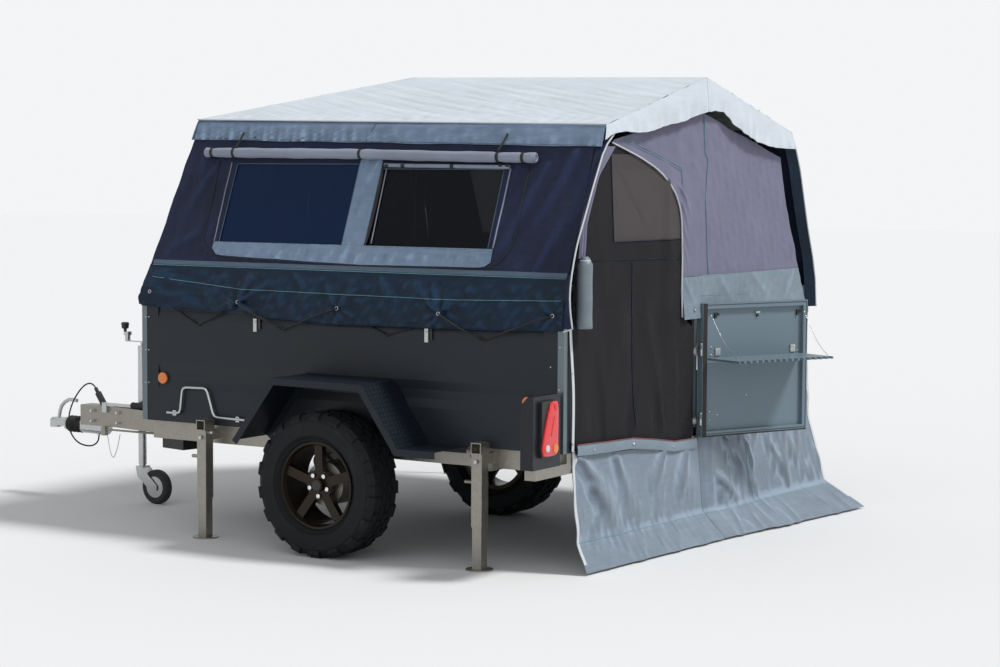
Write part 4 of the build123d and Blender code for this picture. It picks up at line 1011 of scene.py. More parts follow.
def apron(side):
    seed, drop = APRON_SEED[side], APRON_DROP[side]
    v, x = down(44), across(210, TUB_REAR - 0.004, 1.0)
    z = lerp(APRON_TOP, follow(x, APRON_HEM) - drop, v)
    reach = (x - APRON_BEND) / 0.07
    x = np.where(x > APRON_BEND, lerp(APRON_BEND, apron_front_x(z), reach), x)
    z = lerp(APRON_TOP, follow(x, APRON_HEM) - drop, v)
    skin = half(side_apron(x, z, seed), side)
    sheet = cloth("side_apron_" + side, skin, SKIRT, BODY[side], "dark_cloth", ["skirt_" + side])
    y = lerp(HINGE_Y + SEAM, apron_y(1.30), across(120))
    z = lerp(APRON_TOP, follow(y, FRONT_HEM) - drop + 0.006 * sway(y, 0, 0.5, 3), v)
    lift = 0.0045 * sway(y, z * 1.4, 0.22, 12 + seed) + 0.0022 * sway(y, z * 1.3, 0.075, 15 + seed)
    x = apron_front_x(z) + 0.002 + np.maximum(lift * smooth(1.43, 1.38, z), -0.003)
    points = grid(x, np.minimum(y, apron_y(z) + 0.001), z)
    sheet = cloth("front_apron_" + side, half(points[:, ::-1], side), SKIRT, BODY[side], "dark_cloth")


for side in SIDES:
    apron(side)


# Rear gable

DOOR_EDGE = [
    (-0.500, 1.190), (-0.489, 1.330), (-0.494, 1.500), (-0.487, 1.620), (-0.478, 1.723), (-0.440, 1.800),
    (-0.389, 1.857), (-0.255, 1.946), (-0.039, 2.016), (0.12, 2.055), (0.27, 2.090),
]
GABLE_TOP = [
    (-1.80, 2.02), (-1.702, 2.030), (-1.465, 2.084), (-1.30, 2.125), (-1.02, 2.185), (-0.88, 2.225),
    (-0.70, 2.262), (-0.52, 2.235), (-0.36, 2.203), (-0.037, 2.150), (0.28, 2.100),
]
LEFT_ROOF_EDGE = [(2.262, -0.70), (2.235, -0.52), (2.203, -0.36), (2.150, -0.037), (2.100, 0.27)]
LEFT_GABLE_CREASES = [
    (-0.47, 1.86, -0.62, 1.70, 0.018, 0.010), (-0.48, 1.78, -0.60, 1.62, 0.015, 0.009),
    (-0.49, 1.70, -0.60, 1.50, 0.015, 0.008), (-0.50, 1.60, -0.58, 1.42, 0.015, 0.008),
    (-0.60, 1.99, -0.70, 1.96, 0.015, 0.006),
]
RIGHT_GABLE_EDGE = [(0, -1.702), (0.30, -1.782), (0.42, -1.83), (0.80, -1.985), (1.0, -2.060)]
RIGHT_GABLE_CREASES = [
    (-0.82, 2.02, -0.95, 1.98, 0.015, 0.006), (-1.9, 1.30, -1.7, 1.22, 0.02, 0.012),
    (-1.2, 1.36, -1.4, 1.22, 0.03, 0.010), (-1.7, 1.35, -1.5, 1.24, 0.03, 0.008),
    (-1.0, 1.30, -1.15, 1.20, 0.02, 0.008),
]
DOOR_HEAD_Z = 2.088
GABLE_HEAD_Z, LEFT_GABLE_FOOT_Z, RIGHT_GABLE_FOOT_Z = 2.262, 1.184, 1.186
ABOVE_BAND = (1.395, 1.44)  # the gables hang loose from here up, and lie flat under their lower band
# Rows run down; the left gable's border follows the roof, then the door's curved edge
z = lerp(GABLE_HEAD_Z, LEFT_GABLE_FOOT_Z, down(70))
border = np.where(z > DOOR_HEAD_Z, follow(z, LEFT_ROOF_EDGE), follow(z, swapped(DOOR_EDGE)))
y = lerp(border, HINGE_Y + SEAM, across(80))
lift = 0.004 * sway(y, z, 0.3, 21) + creases(y, z, LEFT_GABLE_CREASES)
x = REAR_X - 0.004 - np.maximum(lift, -0.002) * smooth(*ABOVE_BAND, z) - 0.010 * smooth(1.30, 1.16, z)
sheet = cloth("rear_gable_left", grid(x, y, z), LILAC, "root", "lilac_cloth", ["rear_wall_left"])

v = down(80)
y = lerp(HINGE_Y - SEAM, follow(v, RIGHT_GABLE_EDGE), across(120))
z = lerp(follow(y, GABLE_TOP), RIGHT_GABLE_FOOT_Z + 0.008 * sway(y, 0, 0.6, 3), v)
lift = 0.004 * sway(y, z, 0.34, 31) + 0.0015 * sway(y * 1.3, z, 0.09, 33)
lift = lift + creases(y, z, RIGHT_GABLE_CREASES)
x = REAR_X + 0.0005 - np.maximum(lift, -0.0015) * smooth(*ABOVE_BAND, z) - 0.006 * smooth(1.35, 1.18, z)
sheet = cloth("rear_gable_right", grid(x, y, z), LILAC, "lid", "lilac_cloth", ["rear_wall_right"])

MESH_CREASES = [
    (-0.30, 0.60, -0.10, 1.30, 0.05, 0.022), (0.05, 0.60, -0.08, 0.95, 0.045, 0.030),
    (-0.33, 1.90, -0.36, 1.20, 0.05, 0.018), (0.30, 0.62, 0.36, 1.10, 0.04, 0.014),
    (-0.45, 0.60, -0.40, 1.60, 0.03, 0.016),
]
MESH_LEFT_EDGE = [
    (2.085, 0.288), (1.929, 0.42), (1.694, 0.555), (1.50, 0.615), (1.30, 0.632), (1.0, 0.612), (0.575, 0.588),
]
MESH_RIGHT_EDGE = [(0.575, -0.640), (1.12, -0.640), (1.19, -0.52)]
MESH_HEAD_Z, MESH_HEM_Z = 2.082, 0.580
MESH_RIGHT_EDGE += [(z, y - 0.012) for y, z in DOOR_EDGE[1:]]


def mesh_surface(y, z):
    """The netting of the doorway as a surface over y and z."""
    lift = 0.010 * sway(y, z * 0.35, 0.30, 41) * smooth(2.0, 1.3, z) + creases(y, z, MESH_CREASES)
    lift = np.clip(lift, 0, 0.026) * smooth(0.57, 0.68, z)
    return grid(REAR_X - 0.0012 - lift, y, z)


v = down(120)
z = lerp(MESH_HEAD_Z, MESH_HEM_Z, v)
y = lerp(follow(z, MESH_LEFT_EDGE), follow(z, MESH_RIGHT_EDGE), across(80))
z = z - 0.012 * smooth(0.8, 1.0, v) * (0.5 + 0.5 * np.sin(y * 9))
z = z - 0.045 * smooth(0.85, 1.0, v) * smooth(0.5, -0.4, y)
sheet = cloth("mesh_door_net", mesh_surface(y, z), NET, "root", "mesh", ["mesh_door"], thick=THIN_CLOTH)


# Ground aprons. The right one hangs behind the lid side, down to the ground and out over it

RIGHT_FALL = dict(axis=(-0.29, 0, -0.957), anchor=at(TUB_REAR, HINGE_Y, 1.165), keep=0.05)
LEFT_FALL = dict(axis=(0, 0, 1), anchor=at(TUB_REAR, 0, 0.54), keep=0.05)
# Height, distance behind the tub at the near and at the far edge, share of the swell round the lamp
RIGHT_APRON_FALL = [
    (1.165, 0.0003, 0.0003, 0), (0.90, 0.006, 0.006, 1), (0.52, 0.006, 0.006, 1), (0.15, 0.037, 0.102, 0.5),
    (0.008, 0.182, 0.352, 0),
]
LAMP_SWELL = [(-0.702, 0), (-0.780, 0.034), (-0.945, 0.036), (-1.020, 0.012), (-2.05, 0)]
RIGHT_APRON_ROWS = [(0, 1.165), (0.2, 0.90), (0.52, 0.52), (0.82, 0.15), (1.0, 0.012)]
RIGHT_APRON_CREASES = [
    (-0.95, 0.50, -1.35, 0.12, 0.05, 0.020), (-0.85, 0.30, -1.25, 0.04, 0.05, 0.018),
    (-1.25, 0.45, -1.35, 0.12, 0.03, 0.012), (-1.55, 0.40, -1.75, 0.10, 0.05, 0.012),
    (-1.00, 0.40, -1.05, 0.90, 0.04, 0.008),
]
LEFT_APRON_HEAD = [(0.613, 0.600), (-0.50, 0.532), (-0.698, 0.520)]
LEFT_APRON_CREASES = [
    (0.57, 0.56, 0.20, 0.24, 0.05, 0.030), (0.20, 0.52, 0.05, 0.20, 0.05, 0.020),
    (-0.30, 0.50, -0.12, 0.25, 0.05, 0.018), (0.45, 0.40, 0.10, 0.06, 0.06, 0.022),
    (-0.55, 0.48, -0.40, 0.12, 0.05, 0.016),
]

v = down(110)
z = follow(v, RIGHT_APRON_ROWS)
y = lerp(HINGE_Y - 0.0018, -2.06 - 0.09 * smooth(1.15, 0.3, z), across(120))
share = (y - LAMP_SWELL[0][0]) / (LAMP_SWELL[-1][0] - LAMP_SWELL[0][0])
near, far, swell = [follow(z, [(row[0], row[i]) for row in RIGHT_APRON_FALL]) for i in (1, 2, 3)]
lift = 0.020 * sway(y, z * 0.5, 0.33, 51) + 0.009 * sway(y, z * 0.6, 0.14, 53)
lift = lift * (1 - 0.75 * smooth(-0.86, -0.78, y)) + 1.6 * creases(y, z, RIGHT_APRON_CREASES)
lift = np.maximum(lift, -0.001) * smooth(0.0, 0.06, v) * smooth(-0.70, -0.76, y)
lift = lift + 0.004 * smooth(0, 0.05, v)
x = TUB_REAR - near - (far - near) * share - swell * follow(y, LAMP_SWELL) - lift - 0.0022
z = z + 0.006 * np.maximum(sway(y, x, 0.3, 57), 0) * smooth(0.85, 0.95, v)
right_apron = grid(x, y, z)
inner_edge = right_apron[:, :1] + np.array([0.009, -0.0018, 0])
right_apron = np.concatenate([inner_edge, right_apron], axis=1)
sheet = cloth(
    "ground_apron_right", right_apron, GROUND, "lid", "ground_cloth", ["ground_skirt_right"],
    squash=RIGHT_FALL,
)

v = down(60)
y = lerp(LEFT_APRON_HEAD[0][0], HINGE_Y + 0.0025, across(110))
z = lerp(follow(y, LEFT_APRON_HEAD), 0.012, v)
fall = np.clip((0.52 - z) / 0.37, 0, 1)
x = TUB_REAR - 0.0023 - 0.024 * fall - 0.070 * smooth(0.19, -0.02, z)
at_seam = TUB_REAR - 0.0062 - follow(z, [row[:2] for row in RIGHT_APRON_FALL[2:]])
x = lerp(x, at_seam, (0.575 - y) / 1.273)
lift = (0.016 * sway(y, z * 0.5, 0.30, 61) + 0.006 * sway(y, z * 0.5, 0.12, 62)) * fall
lift = lift + 1.4 * creases(y, z, LEFT_APRON_CREASES)
x = x - np.maximum(lift, -0.001) * smooth(0.0, 0.08, v) * smooth(-0.70, -0.64, y)
left_apron = grid(x, y, z)
sheet = cloth(
    "ground_apron_left", left_apron, GROUND, "root", "ground_cloth", ["ground_skirt_left"],
    squash=LEFT_FALL,
)


# Mattress in the open lid

PAD_LOW, PAD_HIGH = [np.array(corner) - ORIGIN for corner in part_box("mattress")]
PAD_CORNER = 0.07
PAD_MIDDLE = ((PAD_LOW + PAD_HIGH) / 2)[:2]
PAD_CORNERS = [
    (PAD_HIGH[0], PAD_HIGH[1], 0), (PAD_LOW[0], PAD_HIGH[1], 90),
    (PAD_LOW[0], PAD_LOW[1], 180), (PAD_HIGH[0], PAD_LOW[1], 270),
]
corner_arcs = []
for cx, cy, first in PAD_CORNERS:
    mx = cx - math.copysign(PAD_CORNER, cx - PAD_MIDDLE[0])
    my = cy - math.copysign(PAD_CORNER, cy - PAD_MIDDLE[1])
    for k in range(9):
        t = math.radians(first + 11.25 * k)
        way = (math.cos(t), math.sin(t))
        corner_arcs.append(((mx + PAD_CORNER * way[0], my + PAD_CORNER * way[1]), way))
pad_outline = []
for (a, a_out), (b, _) in zip(corner_arcs, corner_arcs[1:] + corner_arcs[:1]):
    count = max(1, round(math.dist(a, b) / 0.05))
    pad_outline += [(lerp(np.array(a), np.array(b), i / count), np.array(a_out)) for i in range(count)]


def pad_ring(inset, share, level):
    """One closed row of the mattress: pulled in from its outline, or shrunk towards the middle."""
    ring = []
    for point, out in pad_outline:
        x, y = PAD_MIDDLE + (point - out * inset - PAD_MIDDLE) * share
        slack = float(sway(x, y, 0.16, 91)) + 0.5 * float(sway(x, y, 0.06, 92))
        ring.append((x, y, level + 0.0016 * slack * (share < 0.999)))
    return ring


PAD_TOP_SHARES = (0.995, 0.985, 0.97, 0.95, 0.92, 0.88, 0.83, 0.77, 0.70, 0.62, 0.53, 0.43, 0.32, 0.20, 0.08)
rows = [pad_ring(0.004, share, PAD_LOW[2] + 0.002) for share in (0.05, 0.5, 0.97)]
for t in np.linspace(0, 1, 13):
    pull = 0.003 + 0.007 * (1 - math.sin(math.pi * t)) + 0.006 * math.exp(-(((t - 0.5) / 0.06) ** 2))
    rows.append(pad_ring(pull, 1.0, lerp(PAD_LOW[2] + 0.006, PAD_HIGH[2] - 0.013, t)))
for share in PAD_TOP_SHARES:
    crown = 0.011 * (1 - share**14) + 0.006 * (1 - share**2)
    rows.append(pad_ring(0.010, share, PAD_HIGH[2] - 0.013 + crown))
pad = Shape()
pad.rows(rows, closed=True, caps=True)
pad_piece = pad.piece("mattress_pad", PAD, "lid", "cushion", ["mattress"])
cording = Shape()
for level in (PAD_HIGH[2] - 0.0125, PAD_LOW[2] + 0.0065):
    line = pad_ring(0.009, 1.0, level)
    cording.tube(line + line[:1], 0.0035, 6)
cording.piece("mattress_piping", ROLLED, "lid", "cushion")


# Lines and trims on the cloth


def rounded(points, times=2):
    """The line with its corners cut off, again and again."""
    points = np.array(points, dtype=float)
    for _ in range(times):
        a, b = points[:-1], points[1:]
        cut = np.stack([a * 0.75 + b * 0.25, a * 0.25 + b * 0.75], axis=1).reshape(-1, points.shape[1])
        points = np.concatenate([points[:1], cut, points[-1:]])
    return points


def finely(line, step=0.025):
    """The line with points added so that none are further apart than the step."""
    line = np.array(line, dtype=float)
    fine = [line[0]]
    for a, b in zip(line[:-1], line[1:]):
        count = max(1, math.ceil(np.linalg.norm(b - a) / step))
        fine += [a + (b - a) * i / count for i in range(1, count + 1)]
    return np.array(fine)


def on_surface(surface, line, lift, seed, side):
    points = surface(*finely(line).T, seed)
    points[:, 1] += lift
    return mirrored(points, side)


def on_wall(line, lift, side):
    """A line of (x, z) laid on a side wall, raised by the lift."""
    return on_surface(side_wall, line, lift, WALL_SEED[side], side)


def on_apron(line, lift, side):
    """A line of (x, z) laid on a side apron, raised by the lift."""
    return on_surface(side_apron, line, lift, APRON_SEED[side], side)


def on_gable(line, lift):
    """A line of (y, z) in front of the rear gable."""
    y, z = finely(line).T
    return grid(REAR_X - lift, y, z)


def spot(place, x, z, lift, side):
    """One point laid on a wall or an apron."""
    return place([(x, z), (x + 0.001, z)], lift, side)[0]


def loop_round(middle, radius, count):
    """A closed circle round a point, seen along x."""
    angles = np.linspace(0, 2 * math.pi, count)
    return [middle + np.array([0, radius * math.sin(t), radius * math.cos(t)]) for t in angles]


def wall_patch(name, side, x, z, finish, slot):
    """A second layer sewn onto the side wall; x and z run over rows or columns."""
    points = side_wall(x, z, WALL_SEED[side])
    points[:, :, 1] += 0.0030 + 0.0014 * np.abs(sway(x * 1.2, z, 0.07, 17)) * smooth(1.46, 1.50, z)
    sheet = cloth(name + "_" + side, half(points[::-1], side), finish, BODY[side], slot, thick=PATCH_CLOTH)


SILL_BAND_FOOT = [
    (-0.836, 1.500), (-0.80, 1.474), (-0.035, 1.468), (0.50, 1.482), (0.88, 1.494), (0.922, 1.530),
]
ZIP = [
    (1.009, 1.992), (1.000, 1.615), (0.993, 1.551), (0.914, 1.488), (0.500, 1.475), (-0.035, 1.462),
    (-0.808, 1.466), (-0.905, 1.504), (-0.958, 1.609), (-0.949, 1.967),
]
STRAP_LINE = [(-0.070, 1.962), (-0.078, 1.90), (-0.079, 1.72), (-0.074, 1.62), (-0.066, 1.568)]
APRON_STITCHES = [(1.290, 1.372), (0.689, 1.323), (0.025, 1.317), (-0.690, 1.314), (-1.282, 1.330)]

for side in SIDES:
    body, drop = BODY[side], APRON_DROP[side]
    x = across(110, -0.836, 0.922)
    levels = lerp(follow(x, SILL_BAND_FOOT), 1.5645, down(9))
    wall_patch("window_sill_band", side, x, levels, BAND, "roll_cloth")
    wall_patch("window_divider", side, across(10, -0.060, 0.079), down(40, 1.5655, 2.050), BAND, "roll_cloth")
    x, levels = across(150, -1.285, 1.300), down(5, 1.4375, 1.4600)
    wall_patch("wall_foot_band", side, x, levels, SILL, "blue_cloth")
    zipper = on_wall(rounded(ZIP), 0.0046, side)
    trim("window_zip_" + side, WEBBING, body, "dark_cloth", (zipper, 0.0026, 6))
    frames = [[(r, top), (r, foot), (f, foot), (f, top), (r, top)] for r, f, foot, top in WINDOWS]
    binding = [(on_wall(frame_line, 0.0022, side), 0.0022, 6) for frame_line in frames]
    trim("window_binding_" + side, SILL, body, "blue_cloth", *binding)
    straps = on_wall(rounded(STRAP_LINE), 0.0062, side)
    trim("pane_straps_" + side, WEBBING, body, "dark_cloth", (straps, 0.0062, 8, 0.5))
    trim(
        "pane_piping_" + side, ROLLED, body, "roll_cloth",
        (on_wall([(-0.094, 1.960), (-0.101, 1.575)], 0.0030, side), 0.0034, 6),
        (on_wall([(-0.842, 1.960), (-0.836, 1.568)], 0.0040, side), 0.0042, 6),
        (on_wall([(0.926, 1.985), (0.922, 1.568)], 0.0034, side), 0.0030, 6),
    )
    trim(
        "apron_seams_" + side, THREAD, body, "dark_cloth",
        (on_apron(finely(APRON_STITCHES, 0.008), 0.0032, side), 0.0014, 5),
        (on_apron([(1.300, 1.4335), (-1.282, 1.4335)], 0.0022, side), 0.0016, 5),
    )
    hem_line = [(-1.298, 1.189 - drop)] + [(x, z - drop + 0.003) for x, z in APRON_HEM[2:-1]]
    trim("apron_hem_" + side, SKIRT, body, "dark_cloth", (on_apron(hem_line, 0.001, side), 0.0034, 6))
    rims = Shape()
    for x, z in EYELETS:
        rims.ring(spot(on_apron, x, z - drop, 0.0016, side), (0, OUT[side], 0.1), 0.0085, 0.0024)
    rims.piece("apron_eyelets_" + side, ZINC, body, "zinc", soft=True)

# Elastic loops from the eyelets to the hooks below the rim: start, hook and end
LOOPS = [
    [(1.111, 1.202), (0.949, 1.122), (0.776, 1.200)], [(0.669, 1.256), (0.383, 1.122), (0.025, 1.247)],
    [(-0.153, 1.168), (-0.273, 1.123), (-0.446, 1.173)], [(-0.600, 1.245), (-0.843, 1.121), (-1.244, 1.258)],
]
for side in SIDES:
    drop = APRON_DROP[side]
    out = (0, OUT[side], 0)
    loops, hooks = Shape(), Shape()
    for start, (hx, hz), end in LOOPS:
        for ox, oz in (start, end):
            line = [(ox, SKIRT_Y + 0.004, oz - drop), (hx, SKIRT_Y + 0.006, hz - drop)]
            if (ox, oz) in EYELETS:
                steps = ((0.12, 0.744), (0.5, 0.742), (0.8, 0.722))
                line[:1] = [(lerp(ox, hx, s), y, lerp(oz, hz, s) - drop) for s, y in steps]
                line = [spot(on_apron, ox, oz - drop, 0.004, side), *mirrored(line, side)]
            else:
                line = mirrored(line, side)
            loops.tube(line, 0.0040, 7)
        place = mirrored((hx, SKIRT_Y - 0.0042, hz - drop), side)
        hooks.disc(place, out, 0.009, 0.005)
        hooks.dome(place + np.array(out) * 0.005, out, 0.0055, 0.007)
    loops.piece("apron_elastics_" + side, ELASTIC, BODY[side], "rubber", soft=True)
    hooks.piece("elastic_hooks_" + side, BLACK_PLASTIC, BODY[side], "black_plastic")

# Lid catches, half under the apron's hem
catches, catch_tongues = Shape(), Shape()
for x, z in ((0.565, 1.150), (-0.512, 1.144)):
    catches.block((x, 0.7015, z - 0.012), (0.011, 0, 0), (0, 0.0055, 0), (0, 0, 0.034))
    catches.disc((x, 0.707, z + 0.006), (0, 1, 0), 0.006, 0.005)
    catch_tongues.block((x - 0.026, 0.7005, z - 0.006), (0.007, 0, 0), (0, 0.0045, 0), (0, 0, 0.028))
sharp(catches.piece("lid_catches", ZINC, "root", "zinc"))
sharp(catch_tongues.piece("lid_catch_tongues", BLACK_PLASTIC, "root", "black_plastic"))

# Rolled covers over the windows, and their straps
ROLL_HEIGHTS = [(-0.986, 2.012), (-0.4, 2.020), (0.07, 2.030), (0.6, 2.034), (1.094, 2.038)]
ROLL_STRAPS = (1.051, 0.902, 0.068, -0.774, -0.921)
ROLL_FRONT, ROLL_REAR, ROLL_RADIUS, ROLL_STAND = 1.094, -0.986, 0.0265, 0.0310
POLE_X = 0.25
BLIND_STRAPS = (-0.10, -0.20, -0.50, -0.79, -0.83)
for side in SIDES:
    body = BODY[side]
    line, radii = [], []
    for x in lerp(ROLL_FRONT, ROLL_REAR, np.arange(181) / 180):
        z = follow(x, ROLL_HEIGHTS)
        pinch = min(sum(math.exp(-(((x - s) / 0.022) ** 2)) for s in ROLL_STRAPS), 1)
        uneven = 1 + 0.035 * math.sin(x * 17) + 0.02 * math.sin(x * 41 + 1)
        radii.append(ROLL_RADIUS * (1 - 0.14 * pinch) * uneven)
        line.append((x, wall_y(z) + ROLL_STAND + 0.0015 * math.sin(x * 9), z))
    line = mirrored(line, side)
    trim(
        "window_cover_roll_" + side, ROLLED, body, "roll_cloth", (line, radii, 20),
        replaces=["cover_rolls"] if side == "left" else (),
    )
    ends, ties, tails = Shape(), Shape(), []
    for end, out in ((line[0], 1), (line[-1], -1)):
        place = end + np.array([0.001 * out, 0, 0])
        ends.ring(place, (out, 0, 0), 0.0185, 0.0052, 20, 8)
        ends.ring(place, (out, 0, 0), 0.0080, 0.0035, 16, 8)
    ends.piece("cover_roll_ends_" + side, ROLLED, body, "roll_cloth", soft=True)
    for x in ROLL_STRAPS:
        z = follow(x, ROLL_HEIGHTS)
        middle = np.array([x, wall_y(z) + ROLL_STAND, z])
        ties.strap(mirrored(loop_round(middle, 0.0262, 25), side), (0.0075, 0, 0), 0.0018)
    sharp(ties.piece("cover_straps_" + side, WEBBING, body, "dark_cloth", soft=True))
    for x, top in ((0.890, 2.146), (-0.783, 2.132)):
        steps = ((0.010, 2.05, 0.055, 2.045), (0.004, 2.08, 0.030, 2.080), (-0.006, top, 0.018, top))
        tail = [(x + dx, wall_y(z_wall) + stand, z) for dx, z_wall, stand, z in steps]
        tails.append((mirrored(rounded(tail), side), 0.0048, 8))
    trim("cover_toggles_" + side, WEBBING, body, "black_plastic", *tails)
    blind = on_wall([(-0.085, 1.973), (-0.840, 1.966)], 0.013, side)
    trim("blind_roll_" + side, ROLLED, body, "roll_cloth", (blind, 0.0100, 12))
    ties = Shape()
    for x in BLIND_STRAPS:
        ties.strap(loop_round(spot(on_wall, x, 1.9695, 0.013, side), 0.0106, 17), (0.011, 0, 0), 0.0016)
    sharp(ties.piece("blind_straps_" + side, WEBBING, body, "dark_cloth", soft=True))
    pole_foot, pole_head, fork_foot = [(POLE_X, wall_y(z) - 0.03, z) for z in (1.45, 1.93, 1.925)]
    fork = [(fork_foot, (POLE_X + reach, wall_y(2.0) - 0.02, 1.975)) for reach in (-0.12, 0.12)]
    trim(
        "wall_stay_" + side, ZINC, body, "galvanised", (mirrored((pole_foot, pole_head), side), 0.009, 10),
        *[(mirrored(prong, side), 0.005, 8) for prong in fork],
    )

# Edge of the roof: bound seam along the eaves and up the hips
EAVE_JOIN_X = 0.033
for side in SIDES:
    x = np.linspace(ROOF_REAR, ROOF_FRONT + 0.006, 50)
    eave = grid(x, EAVE_Y + 0.0075, eave_z(x) + 0.0035)
    y = np.linspace(EAVE_Y + 0.006, HINGE_Y + 0.002, 30)
    front_edge = grid(ROOF_FRONT + 0.0075, y, eave_z(ROOF_FRONT) + 0.0035)
    trim(
        "eave_piping_" + side, PIPING, BODY[side], "roof_cloth",
        (mirrored(eave, side), 0.0036, 8), (mirrored(front_edge, side), 0.0036, 8),
    )
    z = np.linspace(eave_z(EAVE_JOIN_X) - 0.004, eave_z(EAVE_JOIN_X) - BAND_DROP, 8)
    join = grid(EAVE_JOIN_X + 0.006 * np.arange(8), wall_y(z) + 0.0105, z)
    x = np.linspace(ROOF_REAR + 0.03, ROOF_FRONT, 60)
    hem_z = eave_z(x) - BAND_DROP
    stitches = grid(x, wall_y(hem_z + 0.010) + 0.0125, hem_z + 0.008)
    trim(
        "eave_band_seams_" + side, SILL, BODY[side], "roof_cloth",
        (mirrored(join, side), 0.0018, 6), (mirrored(stitches, side), 0.0012, 5),
    )
    foot = np.array([ROOF_FRONT, EAVE_Y, eave_z(ROOF_FRONT)])
    head = np.array([RIDGE_FRONT, HINGE_Y + 0.004, ridge_z(RIDGE_FRONT)])
    hip = [lerp(foot, head, b) + (0, 0, 0.0035) for b in np.linspace(0, 1, 30)]
    trim("roof_hip_seam_" + side, ROOF, BODY[side], "roof_cloth", (mirrored(hip, side), 0.0028, 6))

# Rear edges of the side walls, with the light piping that hangs free of the gable
WALL_END = [
    (0.288, 2.141), (0.396, 2.062), (0.474, 1.929), (0.540, 1.810), (0.603, 1.694), (0.650, 1.610),
    (0.679, 1.539), (0.712, 1.430), (0.722, 1.358), (0.716, 1.280), (0.694, 1.198),
]
# Height, far edge and near edge of the right wall's end
RIGHT_WALL_END = [
    (2.096, -1.800, -1.745), (1.960, -1.872, -1.815), (1.838, -1.915, -1.855), (1.640, -1.985, -1.930),
    (1.456, -2.065, -2.015), (1.330, -2.105, -2.045), (1.165, -2.122, -2.062),
]
z, u = down(40, 2.120, 1.198), across(9)
near = np.where(z > SILL_Z, wall_y(z) - 0.002, np.minimum(apron_y(z) + 0.003, SKIRT_Y + 0.012))
y = lerp(near, follow(z, swapped(WALL_END)), u) - 0.010 * np.sin(math.pi * u) * smooth(1.2, 1.5, z)
points = grid(lerp(TUB_REAR + 0.0012, ROOF_REAR - 0.004, u), y, z)
sheet = cloth("wall_end_left", points, NAVY, "root", "blue_cloth")
trim(
    "wall_end_piping_left", PIPING, "root", "roof_cloth",
    ([(ROOF_REAR - 0.0055, y, z) for y, z in finely(rounded(WALL_END, 1))], 0.0042, 8),
    ([(ROOF_REAR - 0.005, 0.694, 1.198), (ROOF_REAR + 0.010, 0.704, 1.192), (-1.302, 0.716, 1.184)], 0.0036, 8),
)

z = down(46, 2.088, 1.170)
far, near = [follow(z, [(row[0], row[i]) for row in RIGHT_WALL_END]) for i in (1, 2)]
points = grid(lerp(TUB_REAR - 0.010, ROOF_REAR - 0.012, u), lerp(near, far, u), z)
sheet = cloth("wall_end_right", points[:, ::-1], SKIRT, "lid", "blue_cloth")
line = grid(ROOF_REAR - 0.0135, far[:, 0], z[:, 0])
trim("wall_end_piping_right", PIPING, "lid", "roof_cloth", (line, 0.0042, 8))

# Seams, lower band and piping of the rear gable: line, distance in front, radius, sides
GABLE_SEAMS = {
    "left": [
        ([(0.160, 2.108), (-0.475, 1.959), (-0.496, 1.831)], 0.0078, 0.0013, 5),
        ([(0.160, 2.120), (-0.478, 1.972), (-0.508, 1.825)], 0.0078, 0.0013, 5),
        ([(-0.505, 1.402), (HINGE_Y + 0.003, 1.402)], 0.0082, 0.0018, 5),
        ([(-0.515, 1.298), (HINGE_Y + 0.003, 1.294)], 0.0125, 0.0014, 5),
    ],
    "right": [
        (
            [(-0.735, 2.245), (-0.757, 2.047), (-0.790, 2.018), (-0.763, 1.814), (-0.807, 1.400)],
            0.0045, 0.0024, 6,
        ),
        ([(HINGE_Y - 0.003, 1.402), (-1.940, 1.376)], 0.0052, 0.0018, 5),
        ([(HINGE_Y - 0.003, 1.294), (-1.990, 1.262)], 0.0092, 0.0014, 5),
    ],
}
LOWER_BAND_CREASES = [
    (-0.52, 1.38, -0.66, 1.20, 0.02, 0.008), (-0.95, 1.38, -1.15, 1.20, 0.03, 0.007),
    (-1.35, 1.39, -1.60, 1.22, 0.03, 0.006), (-1.88, 1.38, -1.75, 1.21, 0.03, 0.007),
]
# Outer edge by height, distance in front of the gable, how far it swings out and from where, flat size
LOWER_BANDS = {
    "left": ([(1.19, -0.498), (1.40, -0.496)], 0.0105, 0.012, 1.32, (0.22, 0.24)),
    "right": ([(1.18, -2.050), (1.40, -1.955)], 0.0042, 0.008, 1.35, (1.36, 0.24)),
}
for side in SIDES:
    seams = [(on_gable(line, lift), radius, sides) for line, lift, radius, sides in GABLE_SEAMS[side]]
    trim("gable_seams_" + side, THREAD, BODY[side], "lilac_cloth", *seams)
    edge, stand, swing, swing_from, flat = LOWER_BANDS[side]
    z = down(18, 1.398, 1.176)
    y = lerp(HINGE_Y + SEAM * OUT[side], follow(z, edge), across(60))
    lift = 0.0035 * np.abs(sway(y, z, 0.16, 71)) + creases(y, z, LOWER_BAND_CREASES)
    points = grid(REAR_X - stand - swing * smooth(swing_from, 1.18, z) - lift, y, z)
    points = points[:, ::-1] if side == "left" else points
    sheet = cloth(
        "gable_lower_band_" + side, points, REAR_BAND, BODY[side], "ground_cloth", thick=BAND_CLOTH,
    )
arc = [(REAR_X - 0.009, y, z) for y, z in finely(rounded(DOOR_EDGE), 0.02)]
trim("doorway_piping", PIPING, "root", "roof_cloth", (arc, 0.0042, 8))

